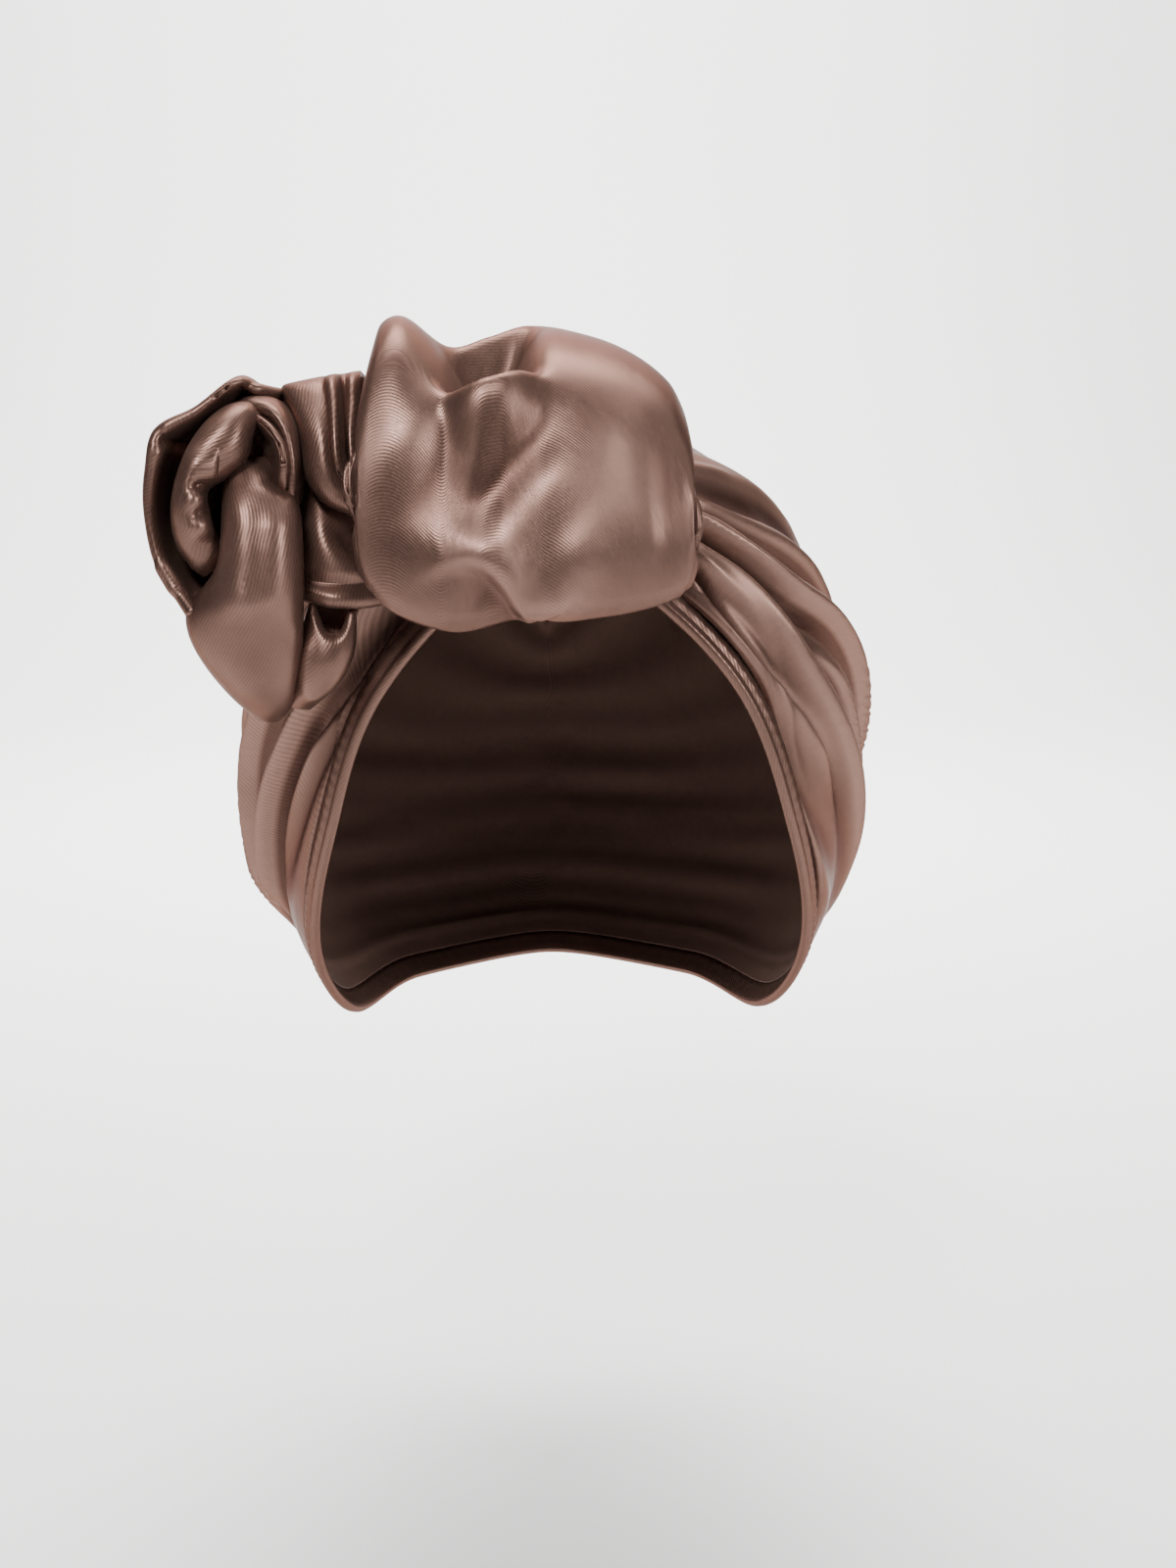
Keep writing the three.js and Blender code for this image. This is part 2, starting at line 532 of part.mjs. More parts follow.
// The bands of the knot and of the rosette. Their places are shares of the head's half sizes, and
// wide and deep are shares of the band's own width.
const bands = {
  knot_band: {
    width: knotBandWidth,
    rows: 7,
    steps: 10,
    section: hangingSection,
    spine: [
      { at: 0, x: -0.487, y: -0.707, z: -0.359, wide: 0.48, deep: 0.12, swing: 15, tip: -10 },
      { at: 0.35, x: -0.577, y: -0.778, z: -0.353, wide: 0.5, deep: 0.2, swing: 5, tip: -5 },
      { at: 0.7, x: -0.692, y: -0.828, z: -0.326, wide: 0.54, deep: 0.16, swing: -5, tip: 0 },
      { at: 1, x: -0.795, y: -0.828, z: -0.293, wide: 0.64, deep: 0.12, swing: -20, tip: 0 },
    ],
  },
  knot_loop: {
    width: knotLoopWidth,
    rows: 12,
    steps: 16,
    section: pleatedSection,
    spine: [
      { at: 0, x: -0.667, y: -0.384, z: -0.239, wide: 0.5, deep: 0.25, swing: 0, tip: 150 },
      { at: 0.16, x: -0.692, y: -0.444, z: -0.065, wide: 0.5, deep: 0.28, swing: 0, tip: 130 },
      { at: 0.32, x: -0.712, y: -0.586, z: 0.027, wide: 0.5, deep: 0.31, swing: 0, tip: 95 },
      { at: 0.48, x: -0.705, y: -0.727, z: 0.011, wide: 0.5, deep: 0.34, swing: 0, tip: 55 },
      { at: 0.62, x: -0.692, y: -0.818, z: -0.054, wide: 0.44, deep: 0.38, swing: 0, tip: 15 },
      { at: 0.76, x: -0.679, y: -0.848, z: -0.125, wide: 0.38, deep: 0.38, swing: 0, tip: 0 },
      { at: 0.9, x: -0.622, y: -0.848, z: -0.185, wide: 0.31, deep: 0.34, swing: 8, tip: 0 },
      { at: 1, x: -0.545, y: -0.828, z: -0.201, wide: 0.29, deep: 0.31, swing: 15, tip: 0 },
    ],
  },
  side_fold: {
    width: sideFoldWidth,
    rows: 6,
    steps: 8,
    section: tubeSection,
    spine: [
      { at: 0, x: -0.692, y: -0.818, z: -0.505, wide: 0.51, deep: 0.33, swing: 8, tip: 0 },
      { at: 0.35, x: -0.699, y: -0.823, z: -0.565, wide: 0.49, deep: 0.38, swing: 4, tip: 0 },
      { at: 0.7, x: -0.744, y: -0.808, z: -0.636, wide: 0.38, deep: 0.33, swing: 0, tip: 0 },
      { at: 1, x: -0.795, y: -0.788, z: -0.685, wide: 0.24, deep: 0.22, swing: 0, tip: 0 },
    ],
  },
  rosette_leaf: {
    width: leafWidth,
    rows: 14,
    steps: 9,
    section: cupSection,
    spine: [
      { at: 0, x: -0.769, y: -0.667, z: 0.016, wide: 0.33, deep: 0.44, swing: 0, tip: 20 },
      { at: 0.12, x: -0.865, y: -0.727, z: 0.057, wide: 0.44, deep: 0.5, swing: 0, tip: 12 },
      { at: 0.22, x: -0.946, y: -0.778, z: 0.072, wide: 0.47, deep: 0.53, swing: 0, tip: 5 },
      { at: 0.34, x: -1.038, y: -0.798, z: 0.02, wide: 0.5, deep: 0.56, swing: 0, tip: 0 },
      { at: 0.46, x: -1.154, y: -0.808, z: -0.06, wide: 0.5, deep: 0.56, swing: 0, tip: 0 },
      { at: 0.58, x: -1.187, y: -0.808, z: -0.152, wide: 0.5, deep: 0.56, swing: 0, tip: 0 },
      { at: 0.7, x: -1.187, y: -0.808, z: -0.25, wide: 0.5, deep: 0.56, swing: 0, tip: 0 },
      { at: 0.84, x: -1.154, y: -0.818, z: -0.359, wide: 0.44, deep: 0.53, swing: 0, tip: 0 },
      { at: 1, x: -1.077, y: -0.828, z: -0.473, wide: 0.28, deep: 0.39, swing: 0, tip: 0 },
    ],
  },
  rosette_lobe: {
    width: lobeWidth,
    rows: 13,
    steps: 10,
    section: tongueSection,
    spine: [
      { at: 0, x: -0.869, y: -0.838, z: -0.092, wide: 0.3, deep: 0.12, swing: 0, tip: 50 },
      { at: 0.08, x: -0.862, y: -0.919, z: -0.136, wide: 0.29, deep: 0.16, swing: 0, tip: 30 },
      { at: 0.18, x: -0.853, y: -0.97, z: -0.207, wide: 0.3, deep: 0.2, swing: 0, tip: 10 },
      { at: 0.32, x: -0.853, y: -0.995, z: -0.304, wide: 0.32, deep: 0.24, swing: 0, tip: 0 },
      { at: 0.41, x: -0.869, y: -1.005, z: -0.37, wide: 0.36, deep: 0.28, swing: -3, tip: 0 },
      { at: 0.49, x: -0.913, y: -1.005, z: -0.429, wide: 0.51, deep: 0.32, swing: -6, tip: 0 },
      { at: 0.58, x: -0.913, y: -0.995, z: -0.489, wide: 0.5, deep: 0.34, swing: -6, tip: -4 },
      { at: 0.72, x: -0.903, y: -0.965, z: -0.576, wide: 0.43, deep: 0.34, swing: -4, tip: -12 },
      { at: 0.86, x: -0.887, y: -0.909, z: -0.663, wide: 0.31, deep: 0.28, swing: 0, tip: -22 },
      { at: 1, x: -0.874, y: -0.813, z: -0.732, wide: 0.12, deep: 0.16, swing: 0, tip: -40 },
    ],
  },
  rosette_roll: {
    width: rollWidth,
    rows: 12,
    steps: 9,
    section: rollSection,
    spine: [
      { at: 0, x: -0.854, y: -0.828, z: -0.039, wide: 0.33, deep: 0.31, swing: 0, tip: 0 },
      { at: 0.14, x: -0.918, y: -0.859, z: -0.046, wide: 0.45, deep: 0.45, swing: 0, tip: 0 },
      { at: 0.3, x: -0.99, y: -0.879, z: -0.085, wide: 0.51, deep: 0.55, swing: 0, tip: 0 },
      { at: 0.46, x: -1.038, y: -0.889, z: -0.147, wide: 0.49, deep: 0.55, swing: 0, tip: 0 },
      { at: 0.64, x: -1.056, y: -0.889, z: -0.228, wide: 0.45, deep: 0.55, swing: 0, tip: 0 },
      { at: 0.82, x: -1.036, y: -0.889, z: -0.304, wide: 0.42, deep: 0.49, swing: 0, tip: 0 },
      { at: 1, x: -0.982, y: -0.879, z: -0.361, wide: 0.27, deep: 0.36, swing: 0, tip: 0 },
    ],
  },
  rosette_arc: {
    width: arcWidth,
    rows: 8,
    steps: 7,
    section: rimSection,
    spine: [
      { at: 0, x: -0.936, y: -0.838, z: 0.024, wide: 0.44, deep: 0.67, swing: 0, tip: 10 },
      { at: 0.25, x: -0.853, y: -0.838, z: 0.02, wide: 0.5, deep: 0.78, swing: 0, tip: 10 },
      { at: 0.5, x: -0.787, y: -0.854, z: -0.033, wide: 0.5, deep: 0.89, swing: 0, tip: 0 },
      { at: 0.75, x: -0.764, y: -0.874, z: -0.109, wide: 0.44, deep: 1, swing: 0, tip: 0 },
      { at: 1, x: -0.767, y: -0.899, z: -0.207, wide: 0.33, deep: 1, swing: 0, tip: 0 },
    ],
  },
  rosette_core: {
    width: coreWidth,
    rows: 8,
    steps: 7,
    section: rimSection,
    spine: [
      { at: 0, x: -0.867, y: -0.899, z: -0.02, wide: 0.38, deep: 0.38, swing: 0, tip: 0 },
      { at: 0.35, x: -0.815, y: -0.909, z: -0.057, wide: 0.5, deep: 0.46, swing: 0, tip: 0 },
      { at: 0.7, x: -0.795, y: -0.919, z: -0.12, wide: 0.46, deep: 0.46, swing: 0, tip: 0 },
      { at: 1, x: -0.797, y: -0.929, z: -0.176, wide: 0.23, deep: 0.46, swing: 0, tip: 0 },
    ],
  },
};

const wasm = await Module();
wasm.setup();

// A copy of a geometry with every face moved outwards; a corner moves further than a flat place.
function grown(geometry, grow) {
  const g = geometry.clone();
  g.computeVertexNormals();
  const place = g.attributes.position;
  const point = (i) => new THREE.Vector3().fromBufferAttribute(place, i);
  const normal = (i) => new THREE.Vector3().fromBufferAttribute(g.attributes.normal, i);
  const reach = new Array(place.count).fill(1);
  const index = g.index.array;
  for (let i = 0; i < index.length; i += 3) {
    const [a, b, c] = [point(index[i]), point(index[i + 1]), point(index[i + 2])];
    const face = b.sub(a).cross(c.sub(a)).normalize();
    for (const k of [index[i], index[i + 1], index[i + 2]])
      reach[k] = Math.min(reach[k], Math.max(0.45, face.dot(normal(k))));
  }
  const moved = reach.map((r, i) => point(i).addScaledVector(normal(i), grow / r));
  moved.forEach((p, i) => place.setXYZ(i, p.x, p.y, p.z));
  return g;
}

// A body for the cutting library, from a geometry.
function solidOf(geometry) {
  const mesh = new wasm.Mesh({
    numProp: 3,
    vertProperties: new Float32Array(geometry.attributes.position.array),
    triVerts: new Uint32Array(geometry.index.array),
  });
  return new wasm.Manifold(mesh);
}

function geometryOf(solid) {
  const mesh = solid.getMesh();
  const made = new THREE.BufferGeometry();
  made.setAttribute("position", new THREE.Float32BufferAttribute(Array.from(mesh.vertProperties), 3));
  made.setIndex(Array.from(mesh.triVerts));
  return made;
}

// The largest part of a body that a cut has left in parts.
function largest(solid) {
  return solid.decompose().reduce((a, b) => (b.volume() > a.volume() ? b : a));
}

// The space that the head fills, which no piece may enter.
function headBody() {
  const ball = new THREE.SphereGeometry(1, 48, 32);
  ball.deleteAttribute("uv");
  ball.deleteAttribute("normal");
  ball.scale(headHalfWidth + headGap, headHalfDepth + headGap, headHalfHeight);
  ball.translate(0, 0, -headHalfHeight);
  return dropThin(mergeVertices(ball, 1e-3));
}

const group = new THREE.Group();
group.name = "turban_headwrap";

function addPiece(name, geometry) {
  const satin = new THREE.MeshStandardMaterial({
    color: clothColor,
    roughness: clothRoughness,
    metalness: clothMetalness,
  });
  geometry.computeVertexNormals();
  const mesh = new THREE.Mesh(geometry, satin);
  mesh.name = name;
  group.add(mesh);
}

addPiece("cap", capBody());
const hemClear = solidOf(grown(capBody(), fitGap));
addPiece("edge_hem", geometryOf(largest(solidOf(hemBody()).subtract(hemClear))));

// Each piece of the knot is cut clear of the head, of the cap and hem, and of the pieces before it.
let taken = solidOf(headBody())
  .add(solidOf(capBody({ grow: fitGap, inside: 0.6 })))
  .add(solidOf(hemBody({ grow: fitGap })));
const tied = [["front_petal", petalBody()]];
for (const [name, band] of Object.entries(bands)) tied.push([name, bandBody(band)]);
for (const [name, geometry] of tied) {
  addPiece(name, geometryOf(largest(solidOf(geometry).subtract(taken))));
  taken = taken.add(solidOf(grown(geometry, fitGap)));
}

export default group;
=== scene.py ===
import math
import bmesh
import bpy
import numpy as np
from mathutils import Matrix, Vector


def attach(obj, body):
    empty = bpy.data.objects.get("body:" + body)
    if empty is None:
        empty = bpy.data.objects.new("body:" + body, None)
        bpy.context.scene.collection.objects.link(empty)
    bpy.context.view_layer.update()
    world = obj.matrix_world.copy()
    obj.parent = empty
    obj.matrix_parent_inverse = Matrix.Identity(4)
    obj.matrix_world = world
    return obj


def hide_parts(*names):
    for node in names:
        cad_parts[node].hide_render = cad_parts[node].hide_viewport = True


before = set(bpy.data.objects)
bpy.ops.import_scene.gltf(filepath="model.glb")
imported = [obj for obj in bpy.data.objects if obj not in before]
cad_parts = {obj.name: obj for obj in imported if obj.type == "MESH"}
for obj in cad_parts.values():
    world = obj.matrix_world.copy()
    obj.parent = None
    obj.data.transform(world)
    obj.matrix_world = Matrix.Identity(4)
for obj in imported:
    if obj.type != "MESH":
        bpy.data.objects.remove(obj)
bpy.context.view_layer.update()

# Tables hold millimetres and degrees; meshes are made in metres.
mm = 0.001


def say(text):
    print("turban:", text)


def curveBetween(t, p, slopeP, q, slopeQ):  # smooth curve from p to q
    t2, t3 = t * t, t * t * t
    start = (2 * t3 - 3 * t2 + 1) * p + (t3 - 2 * t2 + t) * slopeP
    end = (3 * t2 - 2 * t3) * q + (t3 - t2) * slopeQ
    return start + end


def columnAt(rows, key, u):  # smooth curve through one column of a table
    x = np.array([r["at"] for r in rows], float)
    y = np.array([r[key] for r in rows], float)
    n = len(x)
    low = np.maximum(np.arange(n) - 1, 0)
    high = np.minimum(np.arange(n) + 1, n - 1)
    slope = (y[high] - y[low]) / (x[high] - x[low])
    u = np.asarray(u, float)
    i = np.clip(np.searchsorted(x, u, side="left") - 1, 0, n - 2)
    span = x[i + 1] - x[i]
    return curveBetween((u - x[i]) / span, y[i], span * slope[i], y[i + 1], span * slope[i + 1])


def smoothPath(points, count):
    last = len(points) - 1
    rows = [{"at": i / last, **dict(enumerate(p))} for i, p in enumerate(points)]
    u = np.linspace(0, 1, count)
    return np.stack([columnAt(rows, k, u) for k in range(len(points[0]))], -1)


def smoothStep(a, b, x):
    t = np.clip((x - a) / (b - a), 0, 1)
    return t * t * (3 - 2 * t)


def unit(v):
    return v / np.maximum(np.linalg.norm(v, axis=-1, keepdims=True), 1e-12)


def direction(azimuth, elevation):
    a, e = np.radians(azimuth), np.radians(elevation)
    return np.stack([np.sin(a) * np.cos(e), -np.cos(a) * np.cos(e), np.sin(e)], -1)


def gridNormals(grid):
    across = np.gradient(grid, axis=0)
    down = np.gradient(grid, axis=1)
    return unit(np.cross(down, across))


def awayFromEnds(share, x):  # 0 at both ends of a range from 0 to 1, and 1 past that share of it
    return smoothStep(0.0, share, x) * smoothStep(1.0, 1.0 - share, x)


waves = {"count": 9, "pitches": (0.7, 1.7), "turn": 6.28, "calm": 4}  # calm brings the sum to about 1


def softNoise(p, height, size, seed):  # smooth unevenness from a few slanted waves
    rng = np.random.default_rng(seed)
    total = np.zeros(p.shape[:-1])
    for k in range(waves["count"]):
        way = unit(rng.normal(size=p.shape[-1]))
        pitch = size * rng.uniform(*waves["pitches"])
        total += np.sin(2 * np.pi * (p @ way) / pitch + rng.uniform(0, waves["turn"]))
    return height * (total / waves["calm"])


def nearestOn(path, flat, facing):  # distance to a path, which side of it, and how far along it
    run = path[1:] - path[:-1]
    long2 = np.maximum((run * run).sum(-1), 1e-9)
    best = np.full(len(flat), 1e9)
    side = np.zeros(len(flat))
    along = np.zeros(len(flat))
    for k in range(len(run)):
        rel = flat - path[k]
        t = np.clip((rel @ run[k]) / long2[k], 0, 1)
        off = rel - t[:, None] * run[k]
        d = np.sqrt((off * off).sum(-1))
        if facing is None:
            s = run[k, 0] * off[:, 1] - run[k, 1] * off[:, 0]
        else:
            s = (np.cross(run[k], off) * facing).sum(-1)
        near = d < best
        best = np.where(near, d, best)
        side = np.where(near, s, side)
        along = np.where(near, (k + t) / len(run), along)
    return best, side, along


foldEnds = (0.25, 0.25)  # shares of a fold over which its ends fade, where its row gives none
dipPlace = 2.1  # a valley's middle, in widths of the fold beside it


# A fold is a line on the cloth that stands up by height. up and down are its widths on its left
# and right, seen from outside along the line, and dipUp and dipDown the valleys beside it.
def foldLift(points, normals, lines):
    total = np.zeros(points.shape[:-1])
    flat = points.reshape(-1, points.shape[-1])
    facing = normals.reshape(-1, 3) if normals is not None else None
    for line in lines:
        best, side, along = nearestOn(line["path"], flat, facing)
        width = np.where(side > 0, line["up"], line["down"])
        dip = np.where(side > 0, line.get("dipUp", 0), line.get("dipDown", 0))
        shape = line["height"] * np.exp(-((best / width) ** 2))
        shape -= dip * np.exp(-(((best - dipPlace * width) / width) ** 2))
        starts, stops = line.get("ends", foldEnds)
        fade = smoothStep(0, starts, along) * (1 - smoothStep(1 - stops, 1, along))
        total += (shape * fade).reshape(total.shape)
    return total


def flatFolds(points, folds, count):  # folds given as (x, z) lines on the front
    lines = [dict(f, path=smoothPath(f["way"], count)) for f in folds]
    return foldLift(points[..., [0, 2]], None, lines)


def ridgeOf(lift, reach):  # how far each place stands out from the cloth beside it
    padded = np.pad(lift, ((reach, reach), (0, 0)), mode="edge")
    return lift - (padded[2 * reach:] + padded[:-2 * reach]) / 2


def clothLengths(grid):  # distances along both ways of a grid, for the weave
    stepA = np.linalg.norm(np.diff(grid, axis=0), axis=-1)
    stepB = np.linalg.norm(np.diff(grid, axis=1), axis=-1)
    u = np.concatenate([np.zeros((1, grid.shape[1])), np.cumsum(stepA, 0)], 0)
    v = np.concatenate([np.zeros((grid.shape[0], 1)), np.cumsum(stepB, 1)], 1)
    u -= u[grid.shape[0] // 2][None, :]
    return np.stack([u, v], -1)


def makeMesh(name, verts, quads, uvs, fold=None, slots=None):
    mesh = bpy.data.meshes.new(name)
    mesh.vertices.add(len(verts))
    mesh.vertices.foreach_set("co", (verts * mm).astype(np.float32).ravel())
    mesh.loops.add(quads.size)
    mesh.loops.foreach_set("vertex_index", quads.astype(np.int32).ravel())
    mesh.polygons.add(len(quads))
    mesh.polygons.foreach_set("loop_start", np.arange(0, quads.size, 4, dtype=np.int32))
    if slots is not None:
        mesh.polygons.foreach_set("material_index", slots.astype(np.int32))
    layer = mesh.uv_layers.new(name="cloth")
    layer.data.foreach_set("uv", uvs[quads.ravel()].astype(np.float32).ravel())
    # the fold height that the satin turns into painted shade in the valleys and a painted highlight on
    # the ridges
    if fold is not None:
        shade = mesh.attributes.new("fold", "FLOAT", "POINT")
        shade.data.foreach_set("value", fold.astype(np.float32))
    mesh.update(calc_edges=True)
    mesh.validate()
    mesh.polygons.foreach_set("use_smooth", np.ones(len(mesh.polygons), bool))
    piece = bpy.data.objects.new(name, mesh)
    bpy.context.scene.collection.objects.link(piece)
    return piece


allSides = ("start", "end", "first", "last")
lipReach = 0.42  # how far a rounded edge stands out, as a share of the wall


# A sheet of cloth from its outer and inner faces, with a rounded edge on each open side. fold is
# the height that shades the valleys darker, and lining the material slot of the inner face.
def clothPiece(name, outer, inner, fold, openSides=allSides, joined=False, lining=0):
    rows, steps = outer.shape[:2]
    count = rows * steps
    ids = np.arange(count).reshape(rows, steps)
    middle = (outer + inner) / 2
    uv = clothLengths(middle).reshape(-1, 2)
    verts = [outer.reshape(-1, 3), inner.reshape(-1, 3)]
    uvs = [uv, uv]
    folds = [fold.ravel(), fold.ravel()]
    a, b, c, d = ids[:-1, :-1], ids[:-1, 1:], ids[1:, 1:], ids[1:, :-1]
    face = np.stack([a, b, c, d], -1).reshape(-1, 4)
    quads = [face, face[:, ::-1] + count]
    slots = [np.zeros(len(face)), np.full(len(face), lining)]
    sides = {  # border vertices in order, and the row or step just inside them
        "first": (ids[0, :], ids[1, :]),
        "end": (ids[:, -1], ids[:, -2]),
        "last": (ids[-1, ::-1], ids[-2, ::-1]),
        "start": (ids[::-1, 0], ids[::-1, 1]),
    }
    total = 2 * count
    flatMiddle = middle.reshape(-1, 3)
    wallHere = np.linalg.norm((outer - inner).reshape(-1, 3), axis=-1, keepdims=True)
    for side in openSides:
        edge, inside = sides[side]
        out = unit(flatMiddle[edge] - flatMiddle[inside])
        verts.append(flatMiddle[edge] + out * wallHere[edge] * lipReach)
        uvs.append(uv[edge])
        folds.append(fold.ravel()[edge])
        lip = total + np.arange(len(edge))
        total += len(edge)
        quads.append(np.stack([edge[1:], edge[:-1], lip[:-1], lip[1:]], -1))
        quads.append(np.stack([lip[1:], lip[:-1], edge[:-1] + count, edge[1:] + count], -1))
        slots += [np.zeros(len(edge) - 1), np.full(len(edge) - 1, lining)]
    piece = makeMesh(name, *[np.concatenate(part) for part in (verts, quads, uvs, folds, slots)])
    if joined:
        work = bmesh.new()
        work.from_mesh(piece.data)
        bmesh.ops.remove_doubles(work, verts=work.verts, dist=2e-6)
        work.to_mesh(piece.data)
        work.free()
    return piece


def sheetPiece(name, grid, wall, fold):
    normals = gridNormals(grid)
    return clothPiece(name, grid + normals * wall / 2, grid - normals * wall / 2, fold)


weave = {
    "twillPitch": 0.7,  # mm between the twill lines
    "twillAngle": 68,
    "wavePeriod": 0.31416,  # length of one wave of the wave texture at scale 1
    "twill": {"Distortion": 0.6, "Detail": 1, "Detail Scale": 0.6},
    "wobble": {"Scale": 0.35, "Detail": 2},  # where the twill lines stand out more or less
    "leastLines": 0.35,  # how far they stand out at the least
    "yarn": {"Scale": 1.5, "Detail": 3},
    "yarnStretch": (3.2, 0.7, 1),
    "cloud": {"Scale": 0.03, "Detail": 3},  # slow changes over the whole cloth
    # what goes into the bump, the colour and the roughness
    "height": {"yarn": 0.7},
    "shade": {"lines": 0.45, "yarn": 0.7, "cloud": 0.15},
    "rough": {"yarn": 0.3, "cloud": 0.08},
}


def nodeGroup(name, inputs, outputs):
    group = bpy.data.node_groups.new(name, "ShaderNodeTree")
    for label, kind, value in inputs:
        socket = group.interface.new_socket(label, in_out="INPUT", socket_type=kind)
        if value is not None:
            socket.default_value = value
    for label, kind in outputs:
        group.interface.new_socket(label, in_out="OUTPUT", socket_type=kind)
    return group, group.nodes.new("NodeGroupInput"), group.nodes.new("NodeGroupOutput")


def addMath(tree, kind, a, b, clamp=False):
    node = tree.nodes.new("ShaderNodeMath")
    node.operation = kind
    node.use_clamp = clamp
    for socket, value in zip(node.inputs, (a, b)):
        if isinstance(value, (int, float)):
            socket.default_value = value
        else:
            tree.links.new(value, socket)
    return node.outputs[0]


def addNode(tree, kind, vector, values):
    node = tree.nodes.new(kind)
    for label, value in values.items():
        node.inputs[label].default_value = value
    tree.links.new(vector, node.inputs["Vector"])
    return node


def buildWeaveGroup():  # twill lines, yarn grain and soft shade changes of the satin
    group, start, end = nodeGroup(
        "satinWeave",
        [
            ("Cloth", "NodeSocketVector", None),
            ("Angle", "NodeSocketFloat", math.radians(weave["twillAngle"])),
        ],
        [("Height", "NodeSocketFloat"), ("Shade", "NodeSocketFloat"), ("Rough", "NodeSocketFloat")],
    )
    link = group.links.new
    cloth = start.outputs["Cloth"]
    times = lambda value, share: addMath(group, "MULTIPLY", value, share)
    plus = lambda a, b, clamp=False: addMath(group, "ADD", a, b, clamp)
    turn = group.nodes.new("ShaderNodeVectorRotate")
    turn.rotation_type = "Z_AXIS"
    link(cloth, turn.inputs["Vector"])
    link(start.outputs["Angle"], turn.inputs["Angle"])
    twill = addNode(group, "ShaderNodeTexWave", turn.outputs[0], weave["twill"])
    twill.wave_type = "BANDS"
    twill.bands_direction = "X"
    twill.wave_profile = "SIN"
    twill.inputs["Scale"].default_value = weave["wavePeriod"] / weave["twillPitch"]
    stretch = addNode(group, "ShaderNodeMapping", turn.outputs[0], {"Scale": weave["yarnStretch"]})
    noise = "ShaderNodeTexNoise"
    wobble = addNode(group, noise, cloth, weave["wobble"]).outputs["Fac"]
    yarn = addNode(group, noise, stretch.outputs[0], weave["yarn"]).outputs["Fac"]
    cloud = addNode(group, noise, cloth, weave["cloud"]).outputs["Fac"]
    height, shade, rough = weave["height"], weave["shade"], weave["rough"]
    lines = times(twill.outputs["Fac"], plus(wobble, weave["leastLines"]))
    grain = plus(times(lines, shade["lines"]), times(yarn, shade["yarn"]))
    link(plus(lines, times(yarn, height["yarn"])), end.inputs["Height"])
    link(plus(grain, times(cloud, shade["cloud"]), clamp=True), end.inputs["Shade"])
    link(plus(times(yarn, rough["yarn"]), times(cloud, rough["cloud"])), end.inputs["Rough"])
    return group


weaveGroup = buildWeaveGroup()

satin = {
    "color": (0.180, 0.106, 0.085),
    "dark": 0.64,  # the weave's darkest and palest places, as shares of the colour
    "pale": 1.32,
    "metallic": 0.74,
    "roughness": 0.37,
    "yarnRoughness": 0.17,  # what the yarn adds on average
    "shine": {
        "Anisotropic": 0.5,
        "Sheen Weight": 0.01,
        "Sheen Roughness": 0.4,
        "Sheen Tint": (0.92, 0.76, 0.68, 1),
        "Specular Tint": (0.32, 0.25, 0.23, 1),
        "Specular IOR Level": 0.14,
    },
    "foldRange": (-2.6, 3.4),  # the fold heights at both ends of the painted shade and highlight
    # the colour is multiplied darker in the valleys as painted shade and paler on the ridges as a
    # painted highlight
    "valley": {"position": 0.1, "color": (0.52, 0.48, 0.47, 1)},
    "ridge": {"position": 0.8, "color": (1.22, 1.22, 1.22, 1)},
    "bump": {"Strength": 0.16, "Distance": 0.00012},
}


def foldShade(tree):  # painted shade in the valleys and a painted highlight on the ridges, from the fold height stored on each piece
    fold = tree.nodes.new("ShaderNodeAttribute")
    fold.attribute_name = "fold"
    # the fold heights mapped to where the painted shade and painted highlight fall
    paintedShadeRange = tree.nodes.new("ShaderNodeMapRange")
    paintedShadeRange.inputs["From Min"].default_value, paintedShadeRange.inputs["From Max"].default_value = satin["foldRange"]
    tree.links.new(fold.outputs["Fac"], paintedShadeRange.inputs["Value"])
    ramp = tree.nodes.new("ShaderNodeValToRGB")
    for stop, side in zip(ramp.color_ramp.elements, ("valley", "ridge")):
        stop.position = satin[side]["position"]
        stop.color = satin[side]["color"]
    tree.links.new(paintedShadeRange.outputs["Result"], ramp.inputs["Fac"])
    return ramp.outputs["Color"]


